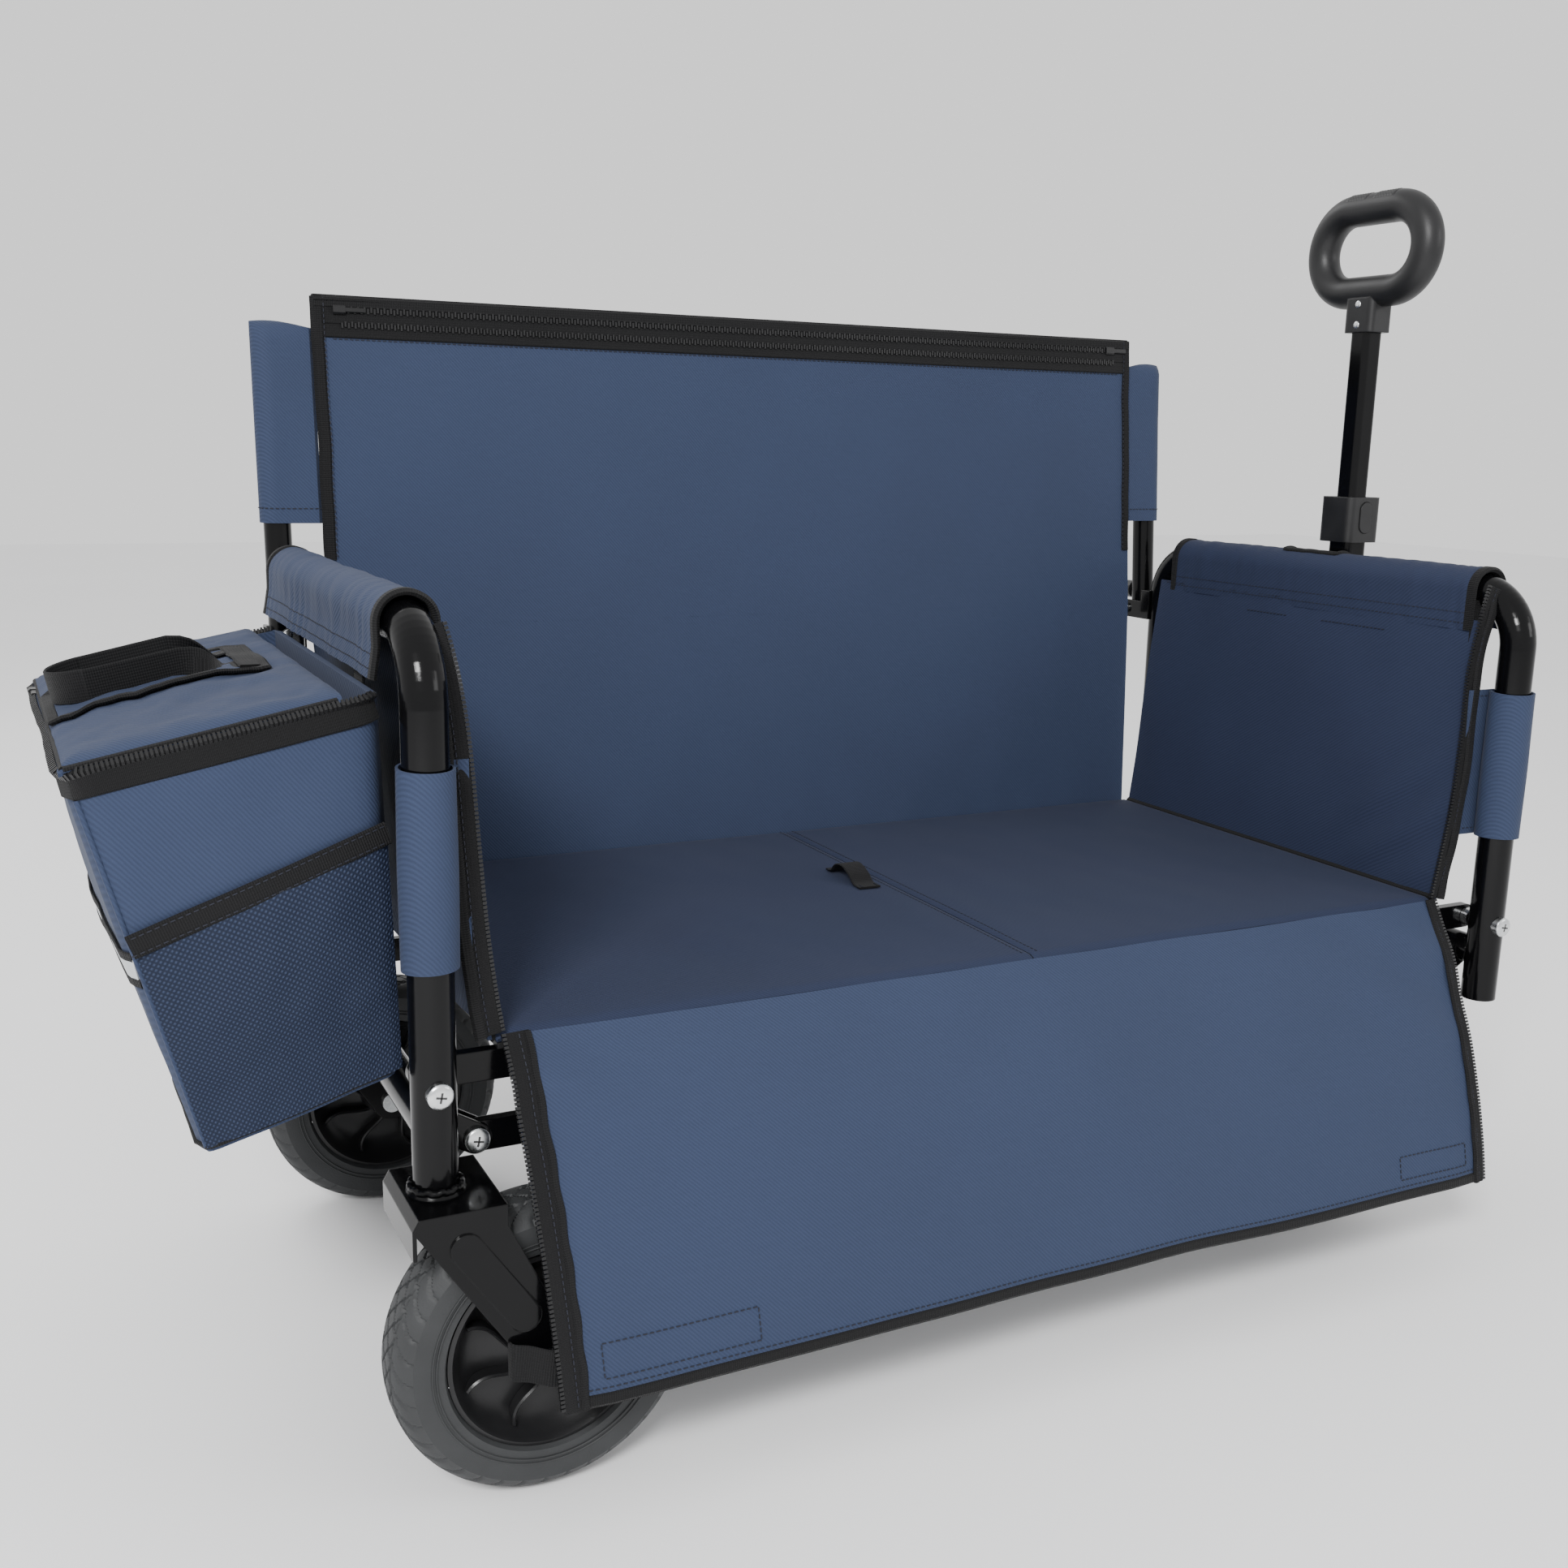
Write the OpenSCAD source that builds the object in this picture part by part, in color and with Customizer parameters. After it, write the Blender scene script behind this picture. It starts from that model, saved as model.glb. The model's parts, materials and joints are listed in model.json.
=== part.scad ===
// Folding beach cart with a bench seat, a fold-back rest, a side bag and a pull handle.
// X runs along the seat, Y from front to back, Z up from the ground.

/* [Frame] */
// Distance between the two end frames, post to post
span = 900; // [860:5:1100]
// Distance between the front and rear post of an end frame
depth = 446; // [430:2:540]
// Height of the top of the arms
arm_h = 570; // [520:2:690]
// Height of the lower ends of the posts
foot_h = 213; // [211:0.5:216]
// Outside diameter of the frame tubes
tube_d = 28; // [24:0.5:32]
// Wall of the frame tubes
tube_wall = 1.5; // [1.2:0.1:2.5]
// Centre-line radius of the bends
bend_r = 45; // [36:1:60]
// Diameter of the bars across the end frames
bar_d = 24; // [20:0.5:28]
// Height of the bars across the end frames
bar_h = 252; // [250:0.5:254]

/* [Folding links] */
// Height of the upper link pivots
pivot_h = 279; // [277:0.5:281]
// Height of the lower link pivots
low_pivot_h = 232.5; // [230:0.5:236]
// Distance of the lower link pivots from the posts
low_inset = 31; // [28:0.5:36]
// Distance of the upper link pivots from the middle of the hub
hub_half = 45; // [38:0.5:55]
// Height of a link bar
link_w = 20; // [16:0.5:20.5]
// Thickness of a link bar
link_t = 8; // [6:0.5:9]
// Gap between a link bar and the plate beside it
link_gap = 0.5; // [0.3:0.1:0.8]
// Thickness of the hub plates and the bracket cheeks
plate_t = 2.5; // [2:0.1:3]
// Diameter of the pivot bolts
bolt_d = 8; // [6:0.5:9]

/* [Seat] */
// Height of the top of the seat
seat_h = 301; // [299:0.5:306]
// Thickness of a seat board
board_t = 4; // [3:0.5:5]
// Gap between the outer end of a board and its post line
board_inset = 46; // [44:1:60]
// Distance of the seat's front and rear edges inside those of the end frames
seat_edge_in = 18; // [17:1:28]
// Width of the strap that lifts the seat
strap_w = 20; // [15:1:30]

/* [Wheels] */
// Radius of the fixed wheels
wheel_r = 100; // [90:1:101]
// Width of the fixed wheels
wheel_w = 50; // [40:1:56]
// Distance of the fixed axles inboard of the posts
wheel_lead = 65; // [58:1:80]
// Half the outside width of a fixed fork
fork_half = 38; // [36:0.5:39]
// Radius of the swivel wheels
caster_r = 87; // [78:1:88]
// Width of the swivel wheels
caster_w = 40; // [34:1:44]
// Distance of the swivel stems inboard of the posts
caster_inset = 72; // [66:1:90]
// Distance of the swivel stems from the middle of the cart
caster_y = 145; // [140:1:147]
// Trail of the swivel wheels
caster_trail = 30; // [22:1:32]
// Diameter of the wheel axles
axle_d = 10; // [8:0.5:12]

/* [Back rest] */
// Height of the top of the back rest
back_h = 771; // [700:1:900]
// Lean of the back panel, in degrees
back_lean = 6.1; // [5:0.1:6.5]
// Lean of the posts, in degrees
post_lean = 4.6; // [4.2:0.1:5.2]
// Thickness of the back panel
back_t = 8; // [5:0.5:9]
// Diameter of the back posts
back_post_d = 22; // [19:0.5:23]
// Height of the back hinge
hinge_h = 497; // [480:1:500]
// Height of a post sleeve
wing_l = 157; // [120:1:180]

/* [Skirt and arms] */
// Height of the lower edge of the front skirt
skirt_low = 81; // [76:1:120]
// How far the skirt reaches forward of the seat at its lower edge
skirt_out = 76; // [73:1:90]
// Height of the fullest point of the skirt
skirt_bow_h = 205; // [202:1:215]
// How far the skirt reaches forward of the seat there
skirt_bow = 44; // [43:1:50]
// Thickness of the fabric pieces
cloth_t = 2.5; // [1.5:0.1:3]
// Height of the hem of an arm sleeve
hem_h = 523; // [505:1:526]
// Height of the tab that wraps a front post
tab_l = 122; // [90:1:130]

/* [Handle] */
// Gap between the handle tube and the end frame beside it
handle_gap = 1; // [0.5:0.5:6]
// Height of the handle pivot
handle_pivot_h = 238; // [232:1:246]
// Side of the outer handle tube
handle_outer = 26; // [24:0.5:26.5]
// Side of the inner handle tube
handle_inner = 21; // [18:0.5:22]
// Height of the top of the grip
grip_top = 894; // [860:1:1000]
// Width of the grip
grip_w = 150; // [130:1:180]
// Thickness of the grip
grip_d = 28; // [24:0.5:30]

/* [Bag] */
// Length of the bag along the arm
bag_l = 350; // [260:5:350]
// How far the bag reaches outboard of the posts
bag_out = 193; // [150:1:240]
// Wall of the bag
bag_wall = 5; // [3:0.5:8]
// Thickness of the bag lid
lid_t = 12; // [8:0.5:14]

/* [Hidden] */
$fn = 64;

LEFT = -1;
RIGHT = 1;
run = 0.08;
soft = 0.3;
eps = 0.01;
half = span / 2;
post_y = depth / 2;
tube_r = tube_d / 2;
bolt_r = bolt_d / 2;
arm_z = arm_h - tube_r;
collar_w = handle_outer + 13;
handle_out = (tube_d + handle_outer) / 2 + handle_gap;
mid_x = (bag_out - handle_out - collar_w / 2) / 2;

// links and hub
link_y = post_y - tube_r - 11;
link_len = half - hub_half;
hub_low = hub_half - low_inset;
cheek_in = link_t / 2 + link_gap;
hub_y = link_y + cheek_in;
hub_tube_d = 20;
hub_tube_h = pivot_h - 17;
head_t = 3;
nut_t = 4;
head_r = bolt_d;

// seat
board_low = pivot_h + link_w / 2;
seat_half_d = depth / 2 - seat_edge_in;
board_len = half - board_inset;
pad_low = board_low + board_t;

// forks and wheels
fork_t = 2.5;
fork_back = 24;
fork_front = 34;
axle_r = axle_d / 2;
axle_end_r = 16;
tyre_h = 34;
caster_tyre_h = 26;
caster_fork_h = 2 * caster_r + 8;
caster_plate_t = 4;
caster_half = caster_w / 2 + 8;
stem_r = 8;
stem_top = foot_h + 3;

// back rest
hinge_y = post_y + tube_r + 27;
back_post_r = back_post_d / 2;
post_back_y = hinge_y - 10;
post_in = 2.5;
hinge_r = 3;
hinge_bolt_h = hinge_h + 5;
hinge_eye_r = 9;
wing_top = back_h - 24;
back_foot_z = seat_h - 5;
back_face_y = seat_half_d + 7;
split_h = hinge_h + 8;
back_half_w = half - 38;
knob_h = 19;

// skirt
skirt_y = -seat_half_d - 0.5;

// arms
sleeve_in = tube_r + 3;
sleeve_r = sleeve_in + cloth_t;
sleeve_l = depth - bend_r - 20;
wall_top_x = sleeve_r + 0.5;
wall_t = 4;
tab_top = 476;

// handle
hp_x = -handle_out;
collar_low = arm_h + 14;
collar_h = 41;
outer_top = collar_low + 6;
slide_down = 140;
inner_low = handle_pivot_h + bolt_r + slide_down + 8;
neck_low = grip_top - 122;
neck_h = 30;
button_travel = 2.5;
button_w = 14;
button_h = 28;

// bag, in the end frame's own axes
bag_in_top = [-sleeve_r + 1, hem_h - 8];
bag_in_low = [-link_w / 2 - 1, pivot_h + 4];
bag_out_top = [-bag_out, hem_h - 44];
bag_out_low = [-bag_out + 62, pivot_h - 30];
bag_front = -(post_y - tube_r - 9);
strap_end = hem_h - 23;
lid_slope = atan2(bag_in_top[1] - bag_out_top[1], bag_in_top[0] - bag_out_top[0]);
lid_edge = 22;

frame_black = [0.03, 0.03, 0.035];
cloth_blue = [0.27, 0.35, 0.5];
trim_black = [0.12, 0.12, 0.13];
zinc = [0.75, 0.76, 0.78];
rubber = [0.14, 0.14, 0.15];
grip_black = [0.08, 0.08, 0.09];

// ---------- placing ----------

// Local x runs inward from the post line of one end frame.
module at_end(side) {
    translate([mid_x + side * half, 0, 0])
        mirror([side > 0 ? 1 : 0, 0, 0])
            children();
}

module at_middle() {
    translate([mid_x, 0, 0])
        children();
}

module both_y() {
    children();
    mirror([0, 1, 0])
        children();
}

module both_x() {
    children();
    mirror([1, 0, 0])
        children();
}

// Draws an x-z outline and thickens it along y, between y0 and y1.
module plate_y(y0, y1) {
    translate([0, y1, 0])
        rotate([90, 0, 0])
            linear_extrude(y1 - y0)
                children();
}

// Draws a y-z outline and thickens it along x, between x0 and x1.
module plate_x(x0, x1) {
    translate([x0, 0, 0])
        rotate([90, 0, 90])
            linear_extrude(x1 - x0)
                children();
}

module rod_y(x, z, r, y0, y1) {
    translate([x, y1, z])
        rotate([90, 0, 0])
            cylinder(r = r, h = y1 - y0);
}

module rod_x(y, z, r, x0, x1) {
    translate([x0, y, z])
        rotate([0, 90, 0])
            cylinder(r = r, h = x1 - x0);
}

// A flat bar outline with round ends, from a to b.
module bar2d(a, b, w) {
    l = norm(b - a);
    translate(a)
        rotate(atan2(b[1] - a[1], b[0] - a[0])) {
            circle(d = w);
            translate([0, -w / 2])
                square([l, w]);
            translate([l, 0])
                circle(d = w);
        }
}

module rounded2d(w, d, r) {
    square([w - 2 * r, d], center = true);
    square([w, d - 2 * r], center = true);
    for (sx = [-1, 1], sy = [-1, 1])
        translate([sx * (w / 2 - r), sy * (d / 2 - r)])
            circle(r);
}

// ---------- end frames ----------

module end_path(r) {
    leg_top = arm_z - bend_r;
    both_y() {
        translate([0, post_y, foot_h - eps])
            cylinder(r = r, h = leg_top - foot_h + 2 * eps);
        translate([0, post_y - bend_r, leg_top])
            rotate([90, 0, 90])
                rotate_extrude(angle = 90)
                    translate([bend_r, 0])
                        circle(r);
    }
    rod_y(0, arm_z, r, -post_y + bend_r, post_y - bend_r);
}

module end_tube(side) {
    color(frame_black) at_end(side) difference() {
        end_path(tube_r);
        translate([0, 0, -1])
            end_path_bore();
        both_y()
            rod_y(0, pivot_h, bolt_r + run, link_y, post_y + tube_d);
        rod_y(0, hinge_bolt_h, hinge_r + run, link_y, post_y + tube_d);
        translate([0, 0, foot_h - 2])
            cube([tube_d * 2, depth * 2, 4], center = true);
    }
}

module end_path_bore() {
    translate([0, 0, 1])
        end_path(tube_r - tube_wall);
    both_y()
        translate([0, post_y, foot_h - 2])
            cylinder(r = tube_r - tube_wall, h = 10);
}

// The bar across an end frame, with the cheeks that hold the lower links.
module cross_bar(side) {
    color(frame_black) at_end(side) difference() {
        union() {
            rod_y(0, bar_h, bar_d / 2, -post_y, post_y);
            both_y() for (s = [-1, 1])
                plate_y(link_y + s * (cheek_in + plate_t / 2) - plate_t / 2,
                        link_y + s * (cheek_in + plate_t / 2) + plate_t / 2)
                    bar2d([0, bar_h - 1], [low_inset, low_pivot_h], link_w);
        }
        both_y() {
            translate([0, post_y, foot_h])
                cylinder(r = tube_r + 0.1, h = arm_h);
            rod_y(low_inset, low_pivot_h, bolt_r + run, link_y - link_w, link_y + link_w);
        }
    }
}

module bolt(x, z, y_in, y_out) {
    rod_y(x, z, bolt_r, y_in - nut_t, y_out + eps);
    rod_y(x, z, head_r, y_out, y_out + head_t);
    rod_y(x, z, head_r * 0.8, y_in - nut_t, y_in - soft);
}

module frame_bolts(side) {
    link_in = link_y - link_t / 2;
    color(zinc) at_end(side) {
        both_y() {
            difference() {
                union() {
                    bolt(0, pivot_h, link_in, post_y + tube_r);
                    rod_y(0, pivot_h, head_r, post_y - 4, post_y + tube_r + eps);
                }
                translate([0, post_y, foot_h])
                    difference() {
                        cylinder(r = tube_r + 0.05, h = 100);
                        translate([0, 0, pivot_h - foot_h])
                            rotate([90, 0, 0])
                                cylinder(r = bolt_r, h = 100, center = true);
                    }
            }
            rod_y(0, pivot_h, head_r, link_y + link_t / 2 + soft, post_y - tube_r - 0.1);
            bolt(low_inset, low_pivot_h, link_y - cheek_in - plate_t, link_y + cheek_in + plate_t);
        }
        hinge_bolts();
        if (side == RIGHT)
            rod_y(hp_x, handle_pivot_h, bolt_r, -handle_outer / 2 - 7, handle_outer / 2 + 7);
    }
}

// The pin of the back hinge, and the bolt that holds its bracket to the leg.
module hinge_bolts() {
    cheek = back_post_r + 0.4 + plate_t;
    rod_x(hinge_y, hinge_h, hinge_r, post_in - cheek - 3, post_in + cheek + 3);
    for (x = [post_in - cheek - 3, post_in + cheek])
        rod_x(hinge_y, hinge_h, 2 * hinge_r, x, x + 3);
    head_y = post_y - tube_r;
    rod_y(0, hinge_bolt_h, hinge_r, head_y - 1, post_y + tube_r + 2);
    rod_y(0, hinge_bolt_h, 7, head_y - nut_t, head_y - 0.1);
}

// The bracket behind a rear leg that carries the back post.
module hinge_bracket(side) {
    base_back = post_y + tube_r + 2.5;
    in = back_post_r + 0.4;
    color(frame_black) at_end(side) difference() {
        union() {
            translate([post_in - in - plate_t, post_y + 4, hinge_h - hinge_eye_r])
                cube([2 * (in + plate_t), base_back - post_y - 4, 30]);
            for (s = [-1, 1])
                plate_x(post_in + s * (in + plate_t / 2) - plate_t / 2,
                        post_in + s * (in + plate_t / 2) + plate_t / 2) {
                    translate([base_back - 2, hinge_h - hinge_eye_r])
                        square([hinge_y - base_back + 2, 2 * hinge_eye_r]);
                    translate([hinge_y, hinge_h])
                        circle(hinge_eye_r);
                }
        }
        translate([0, post_y, foot_h])
            cylinder(r = tube_r + 0.1, h = arm_h);
        rod_x(hinge_y, hinge_h, hinge_r + run, -tube_d, tube_d * 2);
        rod_y(0, hinge_bolt_h, hinge_r + run, 0, hinge_y);
    }
}

// ---------- fixed forks and wheels ----------

module fork_cheek2d() {
    polygon([
        [-fork_back, foot_h - 7],
        [-fork_back + 4, foot_h],
        [fork_front, foot_h],
        [fork_front, foot_h - 14],
        [wheel_lead + axle_end_r * 0.92, wheel_r + axle_end_r * 0.33],
        [wheel_lead - axle_end_r * 0.92, wheel_r - axle_end_r * 0.33]
    ]);
    translate([wheel_lead, wheel_r])
        circle(axle_end_r);
}

// The bent strip between the cheeks.
module fork_crown2d() {
    lip = 26;
    polygon([
        [-fork_back, foot_h - lip], [-fork_back + fork_t, foot_h - lip],
        [-fork_back + fork_t, foot_h - 8], [-fork_back + 5.5, foot_h - 3],
        [fork_front, foot_h - 3], [fork_front, foot_h],
        [-fork_back + 4, foot_h], [-fork_back, foot_h - 7]
    ]);
}

// A pressed fork that stands over a fixed wheel, with the post welded on its top.
module left_fork(y_side) {
    color(frame_black) at_end(LEFT) mirror([0, y_side > 0 ? 0 : 1, 0]) translate([0, post_y, 0])
        difference() {
            union() {
                for (s = [-1, 1]) {
                    plate_y(s * (fork_half - fork_t / 2) - fork_t / 2,
                            s * (fork_half - fork_t / 2) + fork_t / 2)
                        fork_cheek2d();
                    plate_y(s * fork_half - 1.5, s * fork_half + 1.5)
                        bar2d([8, foot_h - 24], [44, foot_h - 76], 20);
                }
                plate_y(-fork_half, fork_half)
                    fork_crown2d();
                translate([0, 0, foot_h])
                    cylinder(r1 = tube_r + 4, r2 = tube_r + 1, h = 4);
            }
            translate([0, 0, foot_h])
                cylinder(r = tube_r + 0.1, h = 40);
            rod_y(wheel_lead, wheel_r, axle_r + run, -fork_half * 2, fork_half * 2);
        }
}

module axle(x, z, r, half_w) {
    rod_y(x, z, r, -half_w - 4, half_w + 4);
    for (y = [-half_w - 4.1, half_w + 0.1])
        rod_y(x, z, r * 1.7, y, y + 4);
}

module left_axles() {
    color(zinc) at_end(LEFT) both_y()
        translate([0, post_y, 0])
            axle(wheel_lead, wheel_r, axle_r, fork_half);
}

// A tyre with rounded shoulders, standing on the ground around an axle along y.
module tyre(r, w, h) {
    shoulder = 8;
    color(rubber) translate([0, 0, r])
        rotate([90, 0, 0])
            rotate_extrude($fn = 96)
                translate([r - h / 2, 0])
                    rounded2d(h, w, shoulder);
}

// A dished rim with ribs, and a bore for its axle.
module rim(r, w, hub_half_w) {
    hub_r = 15;
    color(grip_black) translate([0, 0, r[0]]) rotate([90, 0, 0]) {
        rotate_extrude($fn = 96)
            polygon([
                [axle_r + run, -hub_half_w], [hub_r, -hub_half_w], [hub_r, -3],
                [r[1] - 9, -3], [r[1] - 6, -w / 2 + 4], [r[1], -w / 2 + 4],
                [r[1], w / 2 - 4], [r[1] - 6, w / 2 - 4], [r[1] - 9, 3],
                [hub_r, 3], [hub_r, hub_half_w], [axle_r + run, hub_half_w]
            ]);
        for (k = [0:7])
            rotate(k * 45)
                translate([hub_r - 1, -2, -w / 2 + 8])
                    cube([r[1] - hub_r - 7, 4, w - 16]);
    }
}

module left_wheel_place(y_side) {
    at_end(LEFT)
        translate([wheel_lead, y_side * post_y, 0])
            children();
}

module right_wheel_place(y_side) {
    at_end(RIGHT)
        translate([caster_inset + caster_trail, y_side * caster_y, 0])
            children();
}

// ---------- swivel casters ----------

module caster_fork(y_side) {
    in = caster_half;
    color(frame_black) at_end(RIGHT) translate([caster_inset, y_side * caster_y, 0]) {
        difference() {
            for (s = [-1, 1])
                plate_y(s * (in + plate_t / 2) - plate_t / 2, s * (in + plate_t / 2) + plate_t / 2) {
                    polygon([
                        [-20, caster_fork_h], [26, caster_fork_h],
                        [caster_trail + 13, caster_r + 4], [caster_trail - 13, caster_r - 4]
                    ]);
                    translate([caster_trail, caster_r])
                        circle(14);
                }
            rod_y(caster_trail, caster_r, axle_r + run, -in * 2, in * 2);
        }
        translate([-20, -in - plate_t, caster_fork_h - eps])
            cube([46, 2 * (in + plate_t), caster_plate_t]);
        cylinder_stem();
        color(zinc)
            axle(caster_trail, caster_r, axle_r, in + plate_t);
    }
}

module cylinder_stem() {
    translate([0, 0, caster_fork_h + caster_plate_t - eps])
        cylinder(r = stem_r, h = stem_top - caster_fork_h - caster_plate_t);
}

// The bearing housings of the casters, and the arms that carry them from the bar.
module caster_mounts() {
    low = caster_fork_h + caster_plate_t + 0.5;
    color(frame_black) at_end(RIGHT) both_y() translate([0, caster_y, 0]) difference() {
        union() {
            translate([caster_inset, 0, low])
                cylinder(r = 17, h = stem_top - low + 3);
            translate([-bar_d / 2, -20, stem_top - 3])
                cube([caster_inset + bar_d / 2, 40, 6]);
            translate([-bar_d / 2, -20, stem_top])
                cube([bar_d, 40, bar_h - stem_top]);
        }
        rod_y(0, bar_h, bar_d / 2 + 0.1, -50, 50);
        translate([caster_inset, 0, 0])
            cylinder(r = stem_r + run, h = stem_top + 0.3);
    }
}

// ---------- links and hub ----------

module link(a, b) {
    plate_y(link_y - link_t / 2, link_y + link_t / 2)
        difference() {
            bar2d(a, b, link_w);
            translate(a)
                circle(bolt_r + run);
            translate(b)
                circle(bolt_r + run);
        }
}

module upper_links(side) {
    color(frame_black) at_end(side) both_y()
        link([0, pivot_h], [link_len, pivot_h]);
}

module lower_links(side) {
    color(frame_black) at_end(side) both_y()
        link([low_inset, low_pivot_h], [low_inset + link_len, low_pivot_h]);
}

module hub_plates() {
    r = link_w / 2 - 1;
    color(frame_black) at_middle() both_y() difference() {
        plate_y(hub_y, hub_y + plate_t) {
            polygon([
                [-hub_half, pivot_h + r], [hub_half, pivot_h + r],
                [hub_half + 6, pivot_h - 6], [hub_low + 8, low_pivot_h - 6],
                [-hub_low - 8, low_pivot_h - 6], [-hub_half - 6, pivot_h - 6]
            ]);
            for (s = [-1, 1]) {
                translate([s * hub_half, pivot_h])
                    circle(r);
                translate([s * hub_low, low_pivot_h])
                    circle(r);
            }
        }
        for (s = [-1, 1]) {
            rod_y(s * hub_half, pivot_h, bolt_r + run, 0, post_y);
            rod_y(s * hub_low, low_pivot_h, bolt_r + run, 0, post_y);
        }
    }
}

module hub_cross_tube() {
    color(frame_black) at_middle() difference() {
        rod_y(0, hub_tube_h, hub_tube_d / 2, -hub_y, hub_y);
        rod_y(0, hub_tube_h, hub_tube_d / 2 - tube_wall, -post_y, post_y);
    }
}

module hub_pins() {
    link_in = link_y - link_t / 2;
    color(zinc) at_middle() both_y() both_x() {
        bolt(hub_half, pivot_h, link_in, hub_y + plate_t + 0.1);
        bolt(hub_low, low_pivot_h, link_in, hub_y + plate_t + 0.1);
    }
}

// ---------- seat ----------

module seat_board(side) {
    color([0.2, 0.2, 0.22]) at_end(side)
        translate([board_inset, -seat_half_d + 2, board_low])
            cube([board_len - 0.5, 2 * seat_half_d - 4, board_t]);
}

module seat_pad(side) {
    cut = 5;
    color(cloth_blue) at_end(side)
        plate_y(-seat_half_d, seat_half_d)
            polygon([
                [board_inset, pad_low], [half - 0.5, pad_low], [half - 0.5, seat_h],
                [board_inset + cut, seat_h], [board_inset, seat_h - cut]
            ]);
}

// A webbing loop sewn across the left half of the seat.
module pull_strap() {
    rise = 14;
    strap_l = 66;
    t = 1.5;
    color(trim_black) at_middle() translate([-26, 28, seat_h])
        plate_x(-strap_w / 2, strap_w / 2) {
            difference() {
                polygon([
                    [-strap_l / 2, 0], [-strap_l / 2, t], [-strap_l / 4, rise], [strap_l / 4, rise],
                    [strap_l / 2, t], [strap_l / 2, 0]
                ]);
                polygon([
                    [-strap_l / 2 + 9, -1], [-strap_l / 2 + 9, t], [-strap_l / 4 + 2, rise - t],
                    [strap_l / 4 - 2, rise - t], [strap_l / 2 - 9, t], [strap_l / 2 - 9, -1]
                ]);
            }
        }
}

// ---------- arms, walls and tabs ----------

module arm_sleeve(side) {
    color(cloth_blue) at_end(side) difference() {
        plate_y(-sleeve_l / 2, sleeve_l / 2)
            difference() {
                union() {
                    translate([0, arm_z])
                        circle(sleeve_r);
                    translate([-sleeve_r, hem_h])
                        square([2 * sleeve_r, arm_z - hem_h]);
                }
                translate([0, arm_z])
                    circle(sleeve_in);
                translate([-sleeve_in, hem_h - 1])
                    square([2 * sleeve_in, arm_z - hem_h + 1]);
            }
        if (side == RIGHT)
            translate([-sleeve_r - 1, -handle_outer / 2 - 9, hem_h - 1])
                cube([sleeve_r - 7, handle_outer + 38, 100]);
    }
}

module arm_wall(side) {
    drop_x = board_inset - 0.5 - wall_t;
    color(cloth_blue) at_end(side)
        plate_y(-seat_half_d + 5, seat_half_d + 1)
            polygon([
                [wall_top_x, hem_h], [wall_top_x + wall_t, hem_h],
                [drop_x + wall_t, seat_h - 5], [drop_x, seat_h - 5]
            ]);
}

// The fabric tab that wraps a front post and runs to the wall's front edge.
module post_tab(side) {
    r = tube_r + soft;
    color(cloth_blue) at_end(side) translate([0, 0, tab_top - tab_l])
        linear_extrude(tab_l)
            difference() {
                union() {
                    translate([0, -post_y])
                        circle(r + cloth_t);
                    translate([0, -post_y + r])
                        square([34, cloth_t]);
                }
                translate([0, -post_y])
                    circle(r);
            }
}

// ---------- skirt and back ----------

module front_skirt() {
    edge = board_inset + 1;
    shift = 22;
    color(cloth_blue) difference() {
        at_middle()
            plate_x(-half + edge, half - edge)
                polygon([
                    [skirt_y, seat_h - 1], [skirt_y - cloth_t, seat_h - 1],
                    [skirt_y - skirt_bow - cloth_t, skirt_bow_h],
                    [skirt_y - skirt_out - cloth_t, skirt_low], [skirt_y - skirt_out, skirt_low],
                    [skirt_y - skirt_bow, skirt_bow_h]
                ]);
        at_end(LEFT)
            plate_y(-depth, 0)
                polygon([
                    [0, seat_h + 9], [edge, seat_h + 9], [edge, seat_h - 1],
                    [edge + shift, skirt_low], [edge + shift, skirt_low - 9], [0, skirt_low - 9]
                ]);
    }
}

function back_y(z) = back_face_y + (z - back_foot_z) * tan(back_lean);

module back_slab2d(z0, z1) {
    polygon([
        [back_y(z0), z0], [back_y(z1), z1],
        [back_y(z1) + back_t, z1], [back_y(z0) + back_t, z0]
    ]);
}

// The rest below the hinge, with the roll of fabric that covers the hinge line.
module back_lower() {
    roll_r = 18;
    low = hinge_h - 4;
    color(cloth_blue) at_middle()
        plate_x(-back_half_w + 12, back_half_w - 12) {
            back_slab2d(back_foot_z, split_h - 0.5);
            intersection() {
                difference() {
                    translate([hinge_y, hinge_h])
                        circle(roll_r);
                    translate([hinge_y, hinge_h])
                        circle(roll_r - cloth_t);
                }
                translate([hinge_y - 2 * roll_r, low])
                    square([4 * roll_r, 2 * roll_r]);
            }
            translate([back_y(low) + back_t - 1, low])
                square([hinge_y - roll_r + 2 - back_y(low) - back_t, cloth_t]);
        }
}

module back_upper() {
    color(cloth_blue) at_middle()
        plate_x(-back_half_w, back_half_w)
            back_slab2d(split_h, back_h);
}

module on_back_post(side) {
    at_end(side)
        translate([post_in, post_back_y, hinge_h])
            rotate([-post_lean, 0, 0])
                children();
}

module back_post(side) {
    top = (wing_top - hinge_h) / cos(post_lean) - 5;
    color(frame_black) difference() {
        on_back_post(side) {
            difference() {
                translate([0, 0, -8])
                    cylinder(r = back_post_r, h = top + 8);
                translate([0, 0, 40])
                    cylinder(r = back_post_r - tube_wall, h = top);
            }
            rod_x(hinge_y - post_back_y, 0, 7, -back_post_r, back_post_r);
        }
        at_end(side) {
            rod_x(hinge_y, hinge_h, hinge_r + run, -back_post_d, back_post_d);
            rod_y(post_in, hinge_h + knob_h, hinge_r + run, post_back_y - 4, hinge_y * 2);
        }
    }
}

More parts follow.
